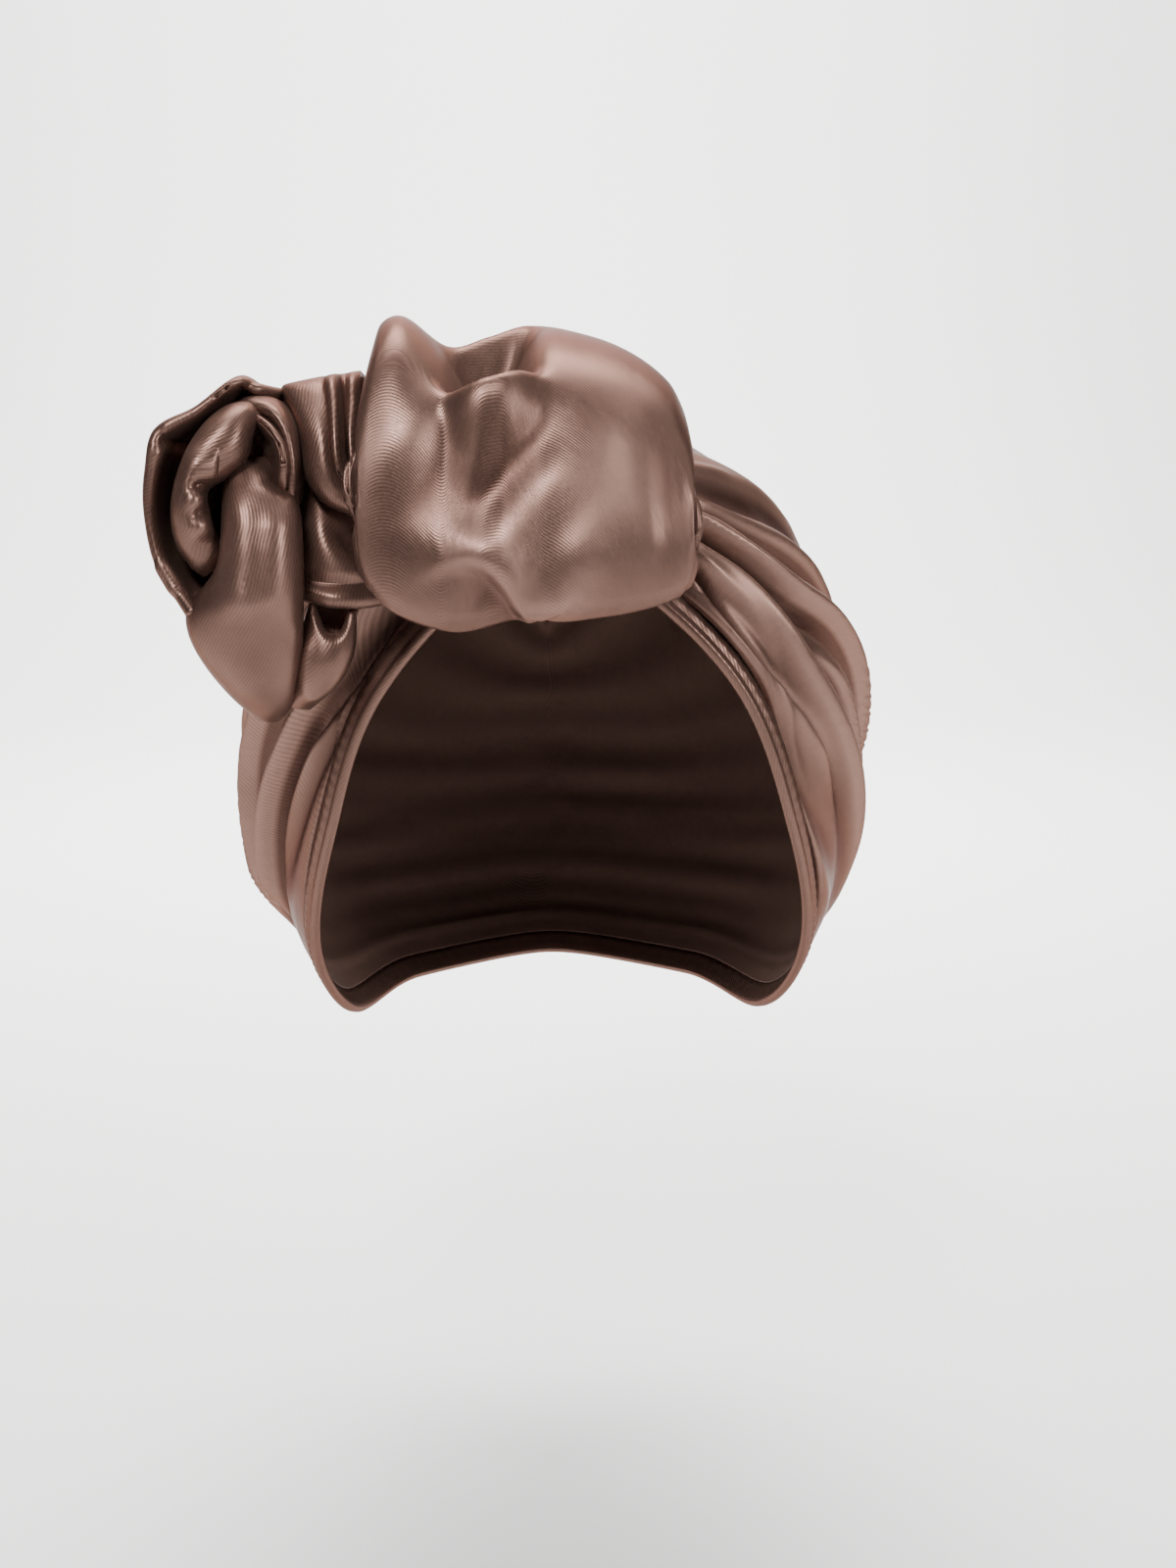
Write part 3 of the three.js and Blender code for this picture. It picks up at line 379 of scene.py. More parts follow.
def satinMaterial(name, tone=1.0, gloss=1.0, twist=0.0):
    material = bpy.data.materials.new(name)
    material.use_nodes = True
    tree = material.node_tree
    link = tree.links.new
    shader = tree.nodes["Principled BSDF"]
    cloth = tree.nodes.new("ShaderNodeUVMap")
    cloth.uv_map = "cloth"
    grain = tree.nodes.new("ShaderNodeGroup")
    grain.node_tree = weaveGroup
    grain.inputs["Angle"].default_value = math.radians(weave["twillAngle"] + twist)
    link(cloth.outputs["UV"], grain.inputs["Cloth"])
    mix = tree.nodes.new("ShaderNodeMix")
    mix.data_type = "RGBA"
    mix.inputs["A"].default_value = (*[c * tone * satin["dark"] for c in satin["color"]], 1)
    mix.inputs["B"].default_value = (*[c * tone * satin["pale"] for c in satin["color"]], 1)
    link(grain.outputs["Shade"], mix.inputs["Factor"])
    tint = tree.nodes.new("ShaderNodeMix")
    tint.data_type = "RGBA"
    tint.blend_type = "MULTIPLY"
    tint.inputs["Factor"].default_value = 1.0
    link(mix.outputs["Result"], tint.inputs["A"])
    link(foldShade(tree), tint.inputs["B"])
    link(tint.outputs["Result"], shader.inputs["Base Color"])
    smooth = satin["roughness"] / gloss - satin["yarnRoughness"]
    link(addMath(tree, "ADD", grain.outputs["Rough"], smooth), shader.inputs["Roughness"])
    shader.inputs["Metallic"].default_value = satin["metallic"] * gloss
    for label, value in satin["shine"].items():
        shader.inputs[label].default_value = value
    tangent = tree.nodes.new("ShaderNodeTangent")
    tangent.direction_type = "UV_MAP"
    tangent.uv_map = "cloth"
    link(tangent.outputs["Tangent"], shader.inputs["Tangent"])
    bump = tree.nodes.new("ShaderNodeBump")
    for label, value in satin["bump"].items():
        bump.inputs[label].default_value = value
    link(grain.outputs["Height"], bump.inputs["Height"])
    link(bump.outputs["Normal"], shader.inputs["Normal"])
    return material


satinFace = satinMaterial("satinFace")
satinBack = satinMaterial("satinBack", tone=0.62, gloss=0.6, twist=90)
say("materials made")


def dress(piece, node, lined=False):
    piece.data.materials.append(satinFace)
    if lined:
        piece.data.materials.append(satinBack)
    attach(piece, "root")
    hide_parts(node)


head = {"axes": np.array([78.0, 99.0, 92.0]), "centre": np.array([0.0, 0.0, -92.0])}


def onHead(toward, lift=0.0):
    toward = unit(toward)
    normal = unit(toward / head["axes"])
    return head["centre"] + toward * head["axes"] + normal * np.asarray(lift)[..., None]


# Pleat lines run from the knot over the head to the back seam. Each station gives its azimuth and
# elevation for every turn, from the wearer's left side of the opening over the crown to the right.
pleatRun = {
    "turns": [0.0, 0.08, 0.17, 0.27, 0.37, 0.5, 0.63, 0.73, 0.83, 0.92, 1.0],
    "knot": [(-4, 48)] * 11,
    "brow": [
        (34, 22), (35, 27), (38, 33), (45, 38), (50, 52), (0, 67),
        (-52, 52), (-46, 37), (-42, 31), (-39, 25), (-38, 19.5),
    ],
    "temple": [
        (45.5, -1), (47, 5), (53, 11), (65, 19), (74, 37), (0, 86),
        (-75, 37), (-64, 18), (-53, 9), (-48, 3), (-47.5, -2),
    ],
    "side": [
        (61, -23), (64, -16), (72, -9), (87, 2), (98, 21), (180, 74),
        (-98, 21), (-85, 1), (-70, -10), (-63, -17), (-62, -23),
    ],
    "behind": [
        (82, -41), (88, -34), (98, -22), (112, -9), (123, 10), (180, 55),
        (-123, 10), (-111, -9), (-97, -22), (-87, -34), (-82, -41),
    ],
    "back": [
        (128, -46), (132, -39), (138, -28), (145, -14), (150, 3), (180, 36),
        (-150, 3), (-145, -14), (-138, -28), (-132, -39), (-128, -46),
    ],
    "seam": [
        (180, -46), (180, -39), (180, -28), (180, -15), (180, 1), (180, 18),
        (-180, 1), (-180, -15), (-180, -28), (-180, -39), (-180, -46),
    ],
}
stationNames = ["knot", "brow", "temple", "side", "behind", "back", "seam"]


def runDirection(turn, along):  # a place on the pleat lines, as a direction from the head's centre
    turn, along = np.broadcast_arrays(np.asarray(turn, float), np.asarray(along, float))
    stops = []
    for name in stationNames:
        ways = direction(*np.array(pleatRun[name], float).T)
        rows = [{"at": t, "x": w[0], "y": w[1], "z": w[2]} for t, w in zip(pleatRun["turns"], ways)]
        stops.append(np.stack([columnAt(rows, k, turn) for k in "xyz"], -1))
    stops.append(stops[-2] * [-1, 1, 1])  # mirrored, so that the pleats cross the seam squarely
    stops = np.stack(stops)
    n = len(stops)
    place = along * (n - 2)
    i = np.clip(np.floor(place).astype(int), 0, n - 3)
    pick = lambda k: np.take_along_axis(stops, np.clip(k, 0, n - 1)[None, ..., None], 0)[0]
    p, q = pick(i), pick(i + 1)
    slopeP = (q - pick(i - 1)) / np.where(i > 0, 2, 1)[..., None]
    slopeQ = (pick(i + 2) - p) / 2
    return unit(curveBetween((place - i)[..., None], p, slopeP, q, slopeQ))


cap = {
    "wall": 1.8,
    "rows": 304,
    "steps": 144,
    "rowSpread": 0.85,  # under 1 brings the rows closer together at the opening
    "stepSpread": 1.1,  # over 1 brings the steps closer together at the knot
    "settle": 0.02,  # the folds rise from nothing over this share of the way from the knot
    "follow": 0.35,  # how much of a fold shows inside
    "thinnest": 1.0,
    "flat": (0.56, 0.30),
    "area": 0.095,
    "waviness": (0.2, 60, 3),  # height, size and seed
    "pathSteps": 30,
    "openSides": ("first", "last"),
    # small creases at the knot and gathers at the back: where they lie, and the height and number
    # of their strong and their weak waves
    "creases": {"middle": 0.14, "reach": 0.14, "sides": 0.08, "waves": ((0.35, 96), (0.25, 151))},
    "gathers": {"from": 0.42, "full": 0.95, "sides": 0.06, "waves": ((0.9, 64), (0.45, 127))},
    "gatherStrength": 0.75,
    "gatherChange": (0.35, 70, 9),  # height, size and seed
    # how strongly the fold height and how far a place stands out go into the painted shade and highlight
    "shade": {"lift": 0.5, "ridge": 2.0, "reach": 4},
    # folds as azimuth and elevation, from the knot outwards
    "folds": [
        {
            "way": [
                (14, 46), (20, 40), (24.9, 34.7), (30.8, 26.1),
                (38.6, 18.2), (47.9, 9.5), (52.7, 3.8), (58, -4),
            ],
            "height": 3.0, "up": 1.5, "down": 3.6, "dipUp": 4.4, "ends": (0.06, 0.3),
        },
        {
            "way": [
                (14, 47), (26.7, 39.0), (37.6, 32.2), (48.3, 20.2),
                (58.7, 7.3), (68.9, -8.2), (78, -22), (92, -32),
            ],
            "height": 4.8, "up": 4.6, "down": 3.8, "dipUp": 1.6, "dipDown": 1.0, "ends": (0.06, 0.4),
        },
        {
            "way": [(52, 25), (60.5, 18.9), (66.0, 12.9), (71, 4), (76, -6), (84, -18), (94, -26)],
            "height": 2.8, "up": 5.0, "down": 1.3, "dipDown": 2.2, "ends": (0.25, 0.4),
        },
        {
            "way": [
                (14, 52), (31.4, 45.0), (41.5, 39.0), (52.2, 31.6), (67.6, 23.6),
                (78, 15), (88, 2), (100, -10), (116, -18),
            ],
            "height": 6.2, "up": 5.6, "down": 1.7, "dipDown": 4.0, "ends": (0.05, 0.4),
        },
        {
            "way": [(14, 54), (33.8, 48.5), (51.8, 42.5), (63.9, 38.3), (76, 32), (90, 20), (106, 6)],
            "height": 3.2, "up": 6, "down": 1.7, "dipDown": 2.2, "ends": (0.12, 0.4),
        },
        {
            "way": [(14, 58), (41.7, 54.3), (59.4, 52.5), (76, 46), (94, 34), (110, 22)],
            "height": 3.6, "up": 10, "down": 4.5, "dipDown": 1.4, "ends": (0.1, 0.5),
        },
        {
            "way": [(33, 14), (36.5, 8.5), (42, 0), (50, -9), (60, -18), (70, -26)],
            "height": 1.4, "up": 3.0, "down": 3.0, "ends": (0.3, 0.3),
        },
        {
            "way": [(31, 22), (37, 13), (44.5, 3), (54, -7), (66, -17)],
            "height": -1.1, "up": 3.4, "down": 3.4, "ends": (0.3, 0.35),
        },
        {
            "way": [
                (-18, 46), (-26, 36), (-32, 28), (-37, 21),
                (-42.5, 12.5), (-49, 3), (-57, -8), (-66, -18),
            ],
            "height": -2.8, "up": 3.2, "down": 2.8, "ends": (0.1, 0.3),
        },
        {
            "way": [(-20, 47), (-29, 36), (-36, 28), (-41.5, 20.5), (-47, 11), (-51, 3), (-56, -6)],
            "height": 2.0, "up": 5.5, "down": 5, "ends": (0.1, 0.35),
        },
        {
            "way": [
                (-20, 49), (-34, 34), (-43.8, 20), (-50, 12.5), (-58, 3.5),
                (-63, -3.7), (-67, -10.7), (-72, -18), (-80, -27),
            ],
            "height": 5.2, "up": 4.6, "down": 1.8, "dipDown": 4.4, "ends": (0.1, 0.2),
        },
        {
            "way": [
                (-20, 52), (-40, 38), (-55, 25), (-67, 12), (-73, 3),
                (-75, -5), (-77, -14), (-80, -22), (-90, -32),
            ],
            "height": 6.0, "up": 4.4, "down": 2.4, "dipUp": 1.5, "dipDown": 3.8, "ends": (0.1, 0.25),
        },
        {
            "way": [(-20, 55), (-48, 44), (-68, 28), (-80, 12), (-86, 2), (-90, -8), (-98, -20)],
            "height": 4.6, "up": 8, "down": 3.4, "dipDown": 1.4, "ends": (0.1, 0.45),
        },
        {
            "way": [(-20, 60), (-52, 54), (-78, 40), (-96, 24), (-112, 10)],
            "height": 3.2, "up": 9, "down": 4.5, "dipDown": 1.0, "ends": (0.1, 0.5),
        },
        {
            "way": [(-8, 62), (-20, 72), (-60, 80), (-120, 72)],
            "height": 2.0, "up": 8, "down": 6, "ends": (0.15, 0.5),
        },
        {
            "way": [(6, 62), (20, 72), (60, 80), (120, 72)],
            "height": 2.0, "up": 6, "down": 8, "ends": (0.15, 0.5),
        },
    ],
}


def capLines():  # the cap's folds as lines on the head, with the crown side up on both sides
    lines = []
    for fold in cap["folds"]:
        way = smoothPath(fold["way"], cap["pathSteps"])
        line = {"dipUp": 0, "dipDown": 0, **fold, "path": onHead(direction(way[:, 0], way[:, 1]))}
        if way[-1, 0] < 0 or way[len(way) // 2, 0] < 0:
            line["up"], line["down"] = line["down"], line["up"]
            line["dipUp"], line["dipDown"] = line["dipDown"], line["dipUp"]
        lines.append(line)
    return lines


def capLift(turn, along, base, normals):
    lift = foldLift(base, normals, capLines())
    # small creases that run with the pleats at the knot
    creases = cap["creases"]
    near = np.exp(-(((along - creases["middle"]) / creases["reach"]) ** 2))
    near *= awayFromEnds(creases["sides"], turn)
    (strong, few), (weak, many) = creases["waves"]
    wrinkles = strong * np.sin(turn * few + 4 * np.sin(along * 6))
    wrinkles += weak * np.sin(turn * many + 3 * along)
    # and gathers beside the back seam, the same on both sides of it
    gathers = cap["gathers"]
    back = smoothStep(gathers["from"], gathers["full"], along)
    back *= awayFromEnds(gathers["sides"], turn)
    mirrored = np.abs(turn - 0.5)
    (strong, few), (weak, many) = gathers["waves"]
    pulls = strong * np.sin(mirrored * few + 2.4 * np.sin(mirrored * 15 + along * 2.5))
    pulls += weak * np.sin(mirrored * many + 3 * np.sin(along * 5) + 1)
    strength = cap["gatherStrength"] + softNoise(base, *cap["gatherChange"])
    return lift + near * wrinkles + back * pulls * strength + softNoise(base, *cap["waviness"])


def buildCap():
    t = np.linspace(-1, 1, cap["rows"] + 1)
    turn = 0.5 + 0.5 * np.sign(t) * np.abs(t) ** cap["rowSpread"]
    along = np.linspace(0, 1, cap["steps"] + 1) ** cap["stepSpread"]
    turn, along = np.meshgrid(turn, along, indexing="ij")
    way = runDirection(turn, along)
    lift = capLift(turn, along, onHead(way), unit(way / head["axes"]))
    lift = lift * smoothStep(0, cap["settle"], along)
    outer = onHead(way, cap["wall"] + lift)
    inner = onHead(way, np.minimum(cap["follow"] * lift, lift + cap["wall"] - cap["thinnest"]))
    # painted shade in the valleys and a painted highlight on the ridges, from the cap's folds
    shade = cap["shade"]
    fold = shade["lift"] * lift + shade["ridge"] * ridgeOf(lift, shade["reach"])
    sides = cap["openSides"]
    piece = clothPiece("cap_cloth", outer, inner, fold, openSides=sides, joined=True, lining=1)
    dress(piece, "cap", lined=True)


buildCap()
say("cap made")

hem = {
    "width": 6.0,
    "inset": 3.3,
    "steps": 700,
    "start": 0.02,
    "flat": (0.42, 0.015),
    # small waves of the pressed ridge, with turns in radians over the whole hem
    "ripple": {"depth": 0.12, "place": -0.2, "reach": 0.3, "turns": 900},
    # the hem's cut, from the cap's side over the two pressed ridges to the edge and back inside
    "section": [
        (-0.62, 0.2), (-0.5, 1.35), (-0.3, 1.75), (-0.12, 2.35), (0.02, 2.45), (0.14, 1.95), (0.26, 2.0),
        (0.4, 2.55), (0.52, 2.5), (0.64, 1.7), (0.66, 0.7), (0.52, 0.1), (0.2, 0.15), (-0.25, 0.1),
    ],
}


def hemRing():  # the hem's cut, carried round the opening
    share = np.linspace(hem["start"], 1 - hem["start"], hem["steps"] + 1)
    turn = np.where(share < 0.5, 0.0, 1.0)
    along = np.where(share < 0.5, share * 2, 2 - share * 2)
    way = runDirection(turn, along)
    edge = onHead(way)
    out = unit(way / head["axes"])
    away = unit(np.cross(unit(np.gradient(edge, axis=0)), out))
    shape = np.array(hem["section"])
    ring = [edge + away * (a * hem["width"] + hem["inset"]) + out * b for a, b in shape]
    ripple = hem["ripple"]
    near = np.exp(-(((shape[:, 0] - ripple["place"]) / ripple["reach"]) ** 2))
    pull = ripple["depth"] * np.sin(share * ripple["turns"])[:, None] * near[None, :]
    lengths = np.cumsum(np.linalg.norm(np.diff(edge, axis=0), axis=-1))
    girth = np.cumsum(np.linalg.norm(np.diff(shape * [hem["width"], 1], axis=0), axis=-1))
    uv = np.stack(np.meshgrid([0, *lengths], [0, *girth], indexing="ij"), -1)
    return np.stack(ring, 1) + out[:, None, :] * pull[..., None], uv


def buildHem():
    ring, uv = hemRing()
    rows, sides = ring.shape[:2]
    ids = np.arange(rows * sides).reshape(rows, sides)
    beside = np.roll(ids, -1, axis=1)
    quads = np.stack([ids[:-1], beside[:-1], beside[1:], ids[1:]], -1).reshape(-1, 4)
    verts = [ring.reshape(-1, 3), ring[0].mean(0, keepdims=True), ring[-1].mean(0, keepdims=True)]
    verts = np.concatenate(verts)
    uv = uv.reshape(-1, 2)
    uv = np.concatenate([uv, uv[:1], uv[-1:]])
    first, last = rows * sides, rows * sides + 1  # the middles of both ends
    ends = []
    for j in range(0, sides, 2):
        k, m = (j + 1) % sides, (j + 2) % sides
        ends.append([first, ids[0, m], ids[0, k], ids[0, j]])
        ends.append([last, ids[-1, j], ids[-1, k], ids[-1, m]])
    quads = np.concatenate([quads, np.array(ends)])
    piece = makeMesh("hem_cloth", verts, quads[:, ::-1], uv, np.zeros(len(verts)))
    dress(piece, "edge_hem")


buildHem()
say("hem made")

petal = {
    "wall": 1.5,
    "rows": 150,
    "steps": 260,
    "flat": (0.085, 0.23),
    "lean": 3.0,  # the top of the left side stands in by this much
    "peek": 1.2,  # how far the layer behind stands out past the sides
    "follow": 0.4,  # how much of a fold shows on the layer behind
    "waviness": (0.12, 26, 5),  # height, size and seed
    # how strongly the front's folds go into the painted shade and highlight
    "shade": 1.1,
    "pathSteps": 24,
    "outline": [
        {"at": 0.0, "x": -44.6, "top": 9, "low": -27, "ridge": -72, "face": -103.8, "gap": 2.2},
        {"at": 0.035, "x": -44.2, "top": 14.5, "low": -33, "ridge": -72.5, "face": -104, "gap": 2.8},
        {"at": 0.08, "x": -42.4, "top": 18.6, "low": -37.5, "ridge": -73, "face": -104.4, "gap": 4.5},
        {"at": 0.16, "x": -37, "top": 19.6, "low": -42.6, "ridge": -73, "face": -105.4, "gap": 9},
        {"at": 0.3, "x": -26, "top": 13.4, "low": -46.2, "ridge": -70, "face": -106.8, "gap": 14},
        {"at": 0.42, "x": -17, "top": 15.8, "low": -45.5, "ridge": -66, "face": -107, "gap": 16},
        {"at": 0.54, "x": -8, "top": 18.5, "low": -43.8, "ridge": -62, "face": -107, "gap": 17},
        {"at": 0.7, "x": 4, "top": 16.5, "low": -43.6, "ridge": -64, "face": -107, "gap": 16},
        {"at": 0.84, "x": 14, "top": 12.5, "low": -42.2, "ridge": -69, "face": -106.4, "gap": 12},
        {"at": 0.94, "x": 22, "top": 6, "low": -39.5, "ridge": -76, "face": -105.8, "gap": 5},
        {"at": 0.98, "x": 25, "top": 0, "low": -36.5, "ridge": -78, "face": -105.5, "gap": 3},
        {"at": 1.0, "x": 26, "top": -5, "low": -32, "ridge": -79, "face": -105.3, "gap": 2.2},
    ],
    "profile": [
        {"at": 0.0, "rise": 0.56, "fore": 0, "root": 24},
        {"at": 0.1, "rise": 0.8, "fore": 0, "root": 16.5},
        {"at": 0.2, "rise": 0.95, "fore": 0, "root": 8},
        {"at": 0.3, "rise": 1.0, "fore": 0.03, "root": 0},
        {"at": 0.42, "rise": 0.955, "fore": 0.36, "root": 0},
        {"at": 0.54, "rise": 0.82, "fore": 0.66, "root": 0},
        {"at": 0.68, "rise": 0.56, "fore": 0.88, "root": 0},
        {"at": 0.82, "rise": 0.27, "fore": 1.0, "root": 0},
        {"at": 0.93, "rise": 0.07, "fore": 0.99, "root": 0},
        {"at": 1.0, "rise": 0.0, "fore": 0.9, "root": 0},
    ],
    # the hollow in the top: its place along the loop, where it starts and ends across, and its lip
    "hollow": {"middle": 0.425, "half": 0.115, "rear": (0.29, 0.37), "lip": (0.50, 0.56), "down": 13.0},
    "lip": {"place": 0.565, "behind": 0.03, "before": 0.10, "rise": 3.2, "fore": -4.5},
    # creases as (x, z) lines on the front
    "folds": [
        {
            "way": [(-25.2, 14.2), (-27.7, 4.9), (-31.8, -4.4), (-35.6, -12.7), (-37.7, -23)],
            "height": 1.6, "up": 6.9, "down": 6.9, "ends": (0.3, 0.5),
        },
        {
            "way": [(-19.3, 5.6), (-23.1, -2.7), (-27.7, -10.6), (-30.2, -18.9), (-30.6, -27.1)],
            "height": -1.3, "up": 5.5, "down": 5.5, "ends": (0.4, 0.45),
        },
        {
            "way": [(0.3, 4.3), (-4.3, -4), (-9.7, -9.6), (-14.9, -15.8), (-19.3, -23), (-21.4, -28.4)],
            "height": -2.1, "up": 6.6, "down": 6.6, "ends": (0.45, 0.4),
        },
        {
            "way": [(4.1, 0.8), (-0.9, -8.9), (-7.2, -16.8), (-12.6, -24), (-16.8, -29.2)],
            "height": 1.5, "up": 6.8, "down": 6.4, "ends": (0.45, 0.3),
        },
        {
            "way": [(12.4, -16.8), (4.5, -26.7), (-0.9, -34.4), (-4.3, -44.5)],
            "height": 1.7, "up": 6.5, "down": 5, "ends": (0.6, 0.06),
        },
        {
            "way": [(12, 8), (15.3, -6.9), (16.2, -20.9), (15.5, -42.7)],
            "height": 0.81, "up": 3, "down": 6.9, "ends": (0.4, 0.35),
        },
        {
            "way": [(19.1, 3.9), (20.4, -10.6), (19.9, -29.2)],
            "height": -0.74, "up": 5.3, "down": 5.3, "ends": (0.4, 0.4),
        },
        {
            "way": [
                (-36, -37.1), (-28.5, -32.3), (-21.8, -30.5), (-17.2, -31.7),
                (-13.9, -34.6), (-11, -38.7), (-7.8, -44.5),
            ],
            "height": 3.2, "up": 6.2, "down": 2.2, "ends": (0.5, 0.04),
        },
        {
            "way": [(-25.2, -35.8), (-19.3, -37.1), (-14.7, -40.4), (-12.2, -45.8)],
            "height": -1.6, "up": 5, "down": 6, "ends": (0.45, 0.05),
        },
        {
            "way": [(-13.1, -29.2), (-10.1, -35), (-7.8, -39.2), (-6.4, -43.7)],
            "height": -1.2, "up": 3, "down": 3, "ends": (0.5, 0.1),
        },
    ],
}


# u runs from side to side, and v from the root over the top down to the lower edge. sunk is 1 for
# the front with its hollow, and 0 for the plain shape.
def petalFace(u, v, sunk):
    at = lambda key: columnAt(petal["outline"], key, u)
    over = lambda key: columnAt(petal["profile"], key, v)
    z = at("low") + over("rise") * (at("top") - at("low"))
    y = at("ridge") + over("fore") * (at("face") - at("ridge")) + over("root")
    hollow, lip = petal["hollow"], petal["lip"]
    spread = np.exp(-(np.abs(u - hollow["middle"]) / hollow["half"]) ** 3) * sunk
    sink = spread * smoothStep(*hollow["rear"], v) * (1 - smoothStep(*hollow["lip"], v))
    past = v - lip["place"]
    edge = spread * np.exp(-((past / np.where(past < 0, lip["behind"], lip["before"])) ** 2))
    z = z - hollow["down"] * sink + lip["rise"] * edge
    y = y + lip["fore"] * edge
    lean = petal["lean"] * smoothStep(0.3, 0.0, u) * smoothStep(-8, 18, z)
    return np.stack(np.broadcast_arrays(at("x") + lean, y, z), -1)


def petalNormal(u, v, sunk):
    step = 0.006
    left, right = np.maximum(u - step, 0), np.minimum(u + step, 1)
    above, below = np.maximum(v - step, 0), np.minimum(v + step, 1)
    across = petalFace(right, v, sunk) - petalFace(left, v, sunk)
    down = petalFace(u, below, sunk) - petalFace(u, above, sunk)
    return unit(np.cross(down, across))


def buildPetal():
    u = np.linspace(0, 1, petal["rows"] + 1)
    w = np.linspace(0, 1, petal["steps"] + 1)
    u, w = np.meshgrid(u, w, indexing="ij")
    back = w > 0.5
    v = np.where(back, 2 - 2 * w, 2 * w)
    front = petalFace(u, v, 1.0)
    lift = flatFolds(front, petal["folds"], petal["pathSteps"]) + softNoise(front, *petal["waviness"])
    # the folds fade towards both sides, over the top and a little at the lower edge
    lift *= smoothStep(0.0, 0.05, u) * smoothStep(1.0, 0.96, u) * smoothStep(0.5, 0.62, v)
    lift *= 1 - 0.4 * smoothStep(0.94, 1.0, v)
    gap = columnAt(petal["outline"], "gap", u) * (1 - v**3) ** 0.6
    behind = petal["follow"] * lift * smoothStep(0.7, 0.9, v) - gap
    layerFront = front + petalNormal(u, v, 1.0) * lift[..., None]
    layerBack = petalFace(u, v, 0.0) + petalNormal(u, v, 0.0) * behind[..., None]
    layerBack[..., 0] -= petal["peek"] * (smoothStep(0.12, 0.0, u) - smoothStep(0.9, 1.0, u))
    grid = np.where(back[..., None], layerBack, layerFront)
    # the front's folds drive the painted shade and highlight; the layer behind gets none
    piece = sheetPiece("petal_cloth", grid, petal["wall"], np.where(back, 0, petal["shade"] * lift))
    dress(piece, "front_petal")


buildPetal()
say("front loop made")

# The other pieces of the knot lie between two edges. Edges: at, the outer edge's x and z, the inner
# edge's x and z, how far forward, how deep, and how far the middle sags where a row gives it.
# Sections: at, the share across, the share of the depth back. Folds: (x, z) lines on the front.
knotBand = {
    "wall": 1.5, "rows": 150, "steps": 100, "flat": (0.03, 0.034),
    "edges": [
        (0.00, -60.0, -13.0, -44.0, -20.0, -77, 6, 0),
        (0.18, -60.0, -19.0, -42.5, -26.0, -81.5, 6, 0),
        (0.42, -60.0, -27.0, -41.0, -31.5, -85, 5, 0),
        (0.66, -60.0, -33.0, -39.0, -35.4, -86.5, 4, 0.6),
        (0.78, -60.0, -35.8, -38.0, -37.2, -86, 4, 1.2),
        (0.85, -60.0, -36.9, -37.5, -38.0, -86.8, 4, 1.5),
        (0.92, -60.0, -38.2, -37.0, -39.4, -88.6, 4, 1.8),
        (0.97, -60.0, -39.6, -37.0, -40.7, -88.2, 4, 2.0),
        (1.00, -60.0, -40.2, -37.2, -41.0, -86, 4, 2.0),
    ],
    "section": [
        (0, 0, 0.7), (0.3, 0.3, 0), (0.52, 0.52, 0.1), (0.68, 0.68, 0.7), (0.84, 0.84, 1.5), (1, 1, 1.9),
    ],
    "folds": [
        {
            "way": [(-57, -20), (-54, -27), (-49, -33), (-44, -37)],
            "height": 0.9, "up": 2.4, "down": 3.4, "ends": (0.3, 0.3),
        },
        {
            "way": [(-52, -24), (-48, -30), (-43, -34)],
            "height": -1.2, "up": 2.6, "down": 2.6, "ends": (0.3, 0.3),
        },
    ],
}

knotLoop = {
    "wall": 1.5, "rows": 140, "steps": 130, "flat": (0.055, 0.058),
    "edges": [
        (0.00, -64.0, -15.0, -46.0, -14.0, -34, 4),
        (0.12, -64.0, -3.0, -46.0, -1.0, -42, 6),
        (0.24, -63.5, 4.0, -46.0, 6.5, -53, 8),
        (0.36, -63.0, 5.0, -46.5, 8.5, -66, 9),
        (0.48, -62.6, 4.4, -46.7, 7.4, -76, 9),
        (0.60, -60.1, -0.8, -46.6, 1.7, -82, 10),
        (0.70, -58.0, -6.7, -46.9, -3.8, -86, 10),
        (0.80, -56.9, -13.8, -46.8, -8.4, -88, 10),
        (0.90, -53.6, -19.3, -46.5, -11.8, -88, 9),
        (1.00, -46.2, -22.8, -45.4, -14.3, -86, 7),
    ],
    "section": [
        (0, 0.12, 1.1), (0.1, 0, 0.55), (0.2, 0.06, 0.15), (0.36, 0.3, 0), (0.5, 0.52, 0.08),
        (0.56, 0.57, 0.42), (0.61, 0.6, 0.16), (0.67, 0.68, 0.05), (0.72, 0.72, 0.45), (0.76, 0.74, 0.8),
        (0.83, 0.82, 1.0), (0.9, 0.92, 0.9), (1, 1, 1.2),
    ],
}

sideFold = {
    "wall": 1.5, "rows": 130, "steps": 90, "flat": (0.022, 0.036),
    "edges": [
        (0.00, -57.0, -40.0, -48.5, -40.0, -78, 0, 0),
        (0.18, -57.0, -42.0, -48.2, -43.0, -80, 2, 4),
        (0.32, -56.5, -42.6, -48.0, -44.4, -83, 2, 7),
        (0.42, -56.5, -42.0, -47.8, -43.8, -87.6, 3, 6.4),
        (0.50, -57.0, -43.5, -47.5, -46.0, -89.6, 5, 6),
        (0.66, -59.0, -50.0, -48.2, -53.0, -90, 6, 4),
        (0.84, -61.0, -58.0, -52.0, -60.0, -87, 6, 2),
        (1.00, -64.0, -65.0, -58.5, -66.0, -81, 4, 0),
    ],
    "section": [
        (0, 0, 1), (0.15, 0.03, 0.5), (0.4, 0.3, 0.05), (0.6, 0.6, 0),
        (0.8, 0.9, 0.25), (0.9, 1, 0.6), (1, 0.97, 1.3),
    ],
    "folds": [
        {
            "way": [(-56.5, -47), (-57.6, -54), (-57.2, -60), (-56, -64)],
            "height": 0.8, "up": 1.2, "down": 1.8, "ends": (0.3, 0.2),
        },
    ],
}

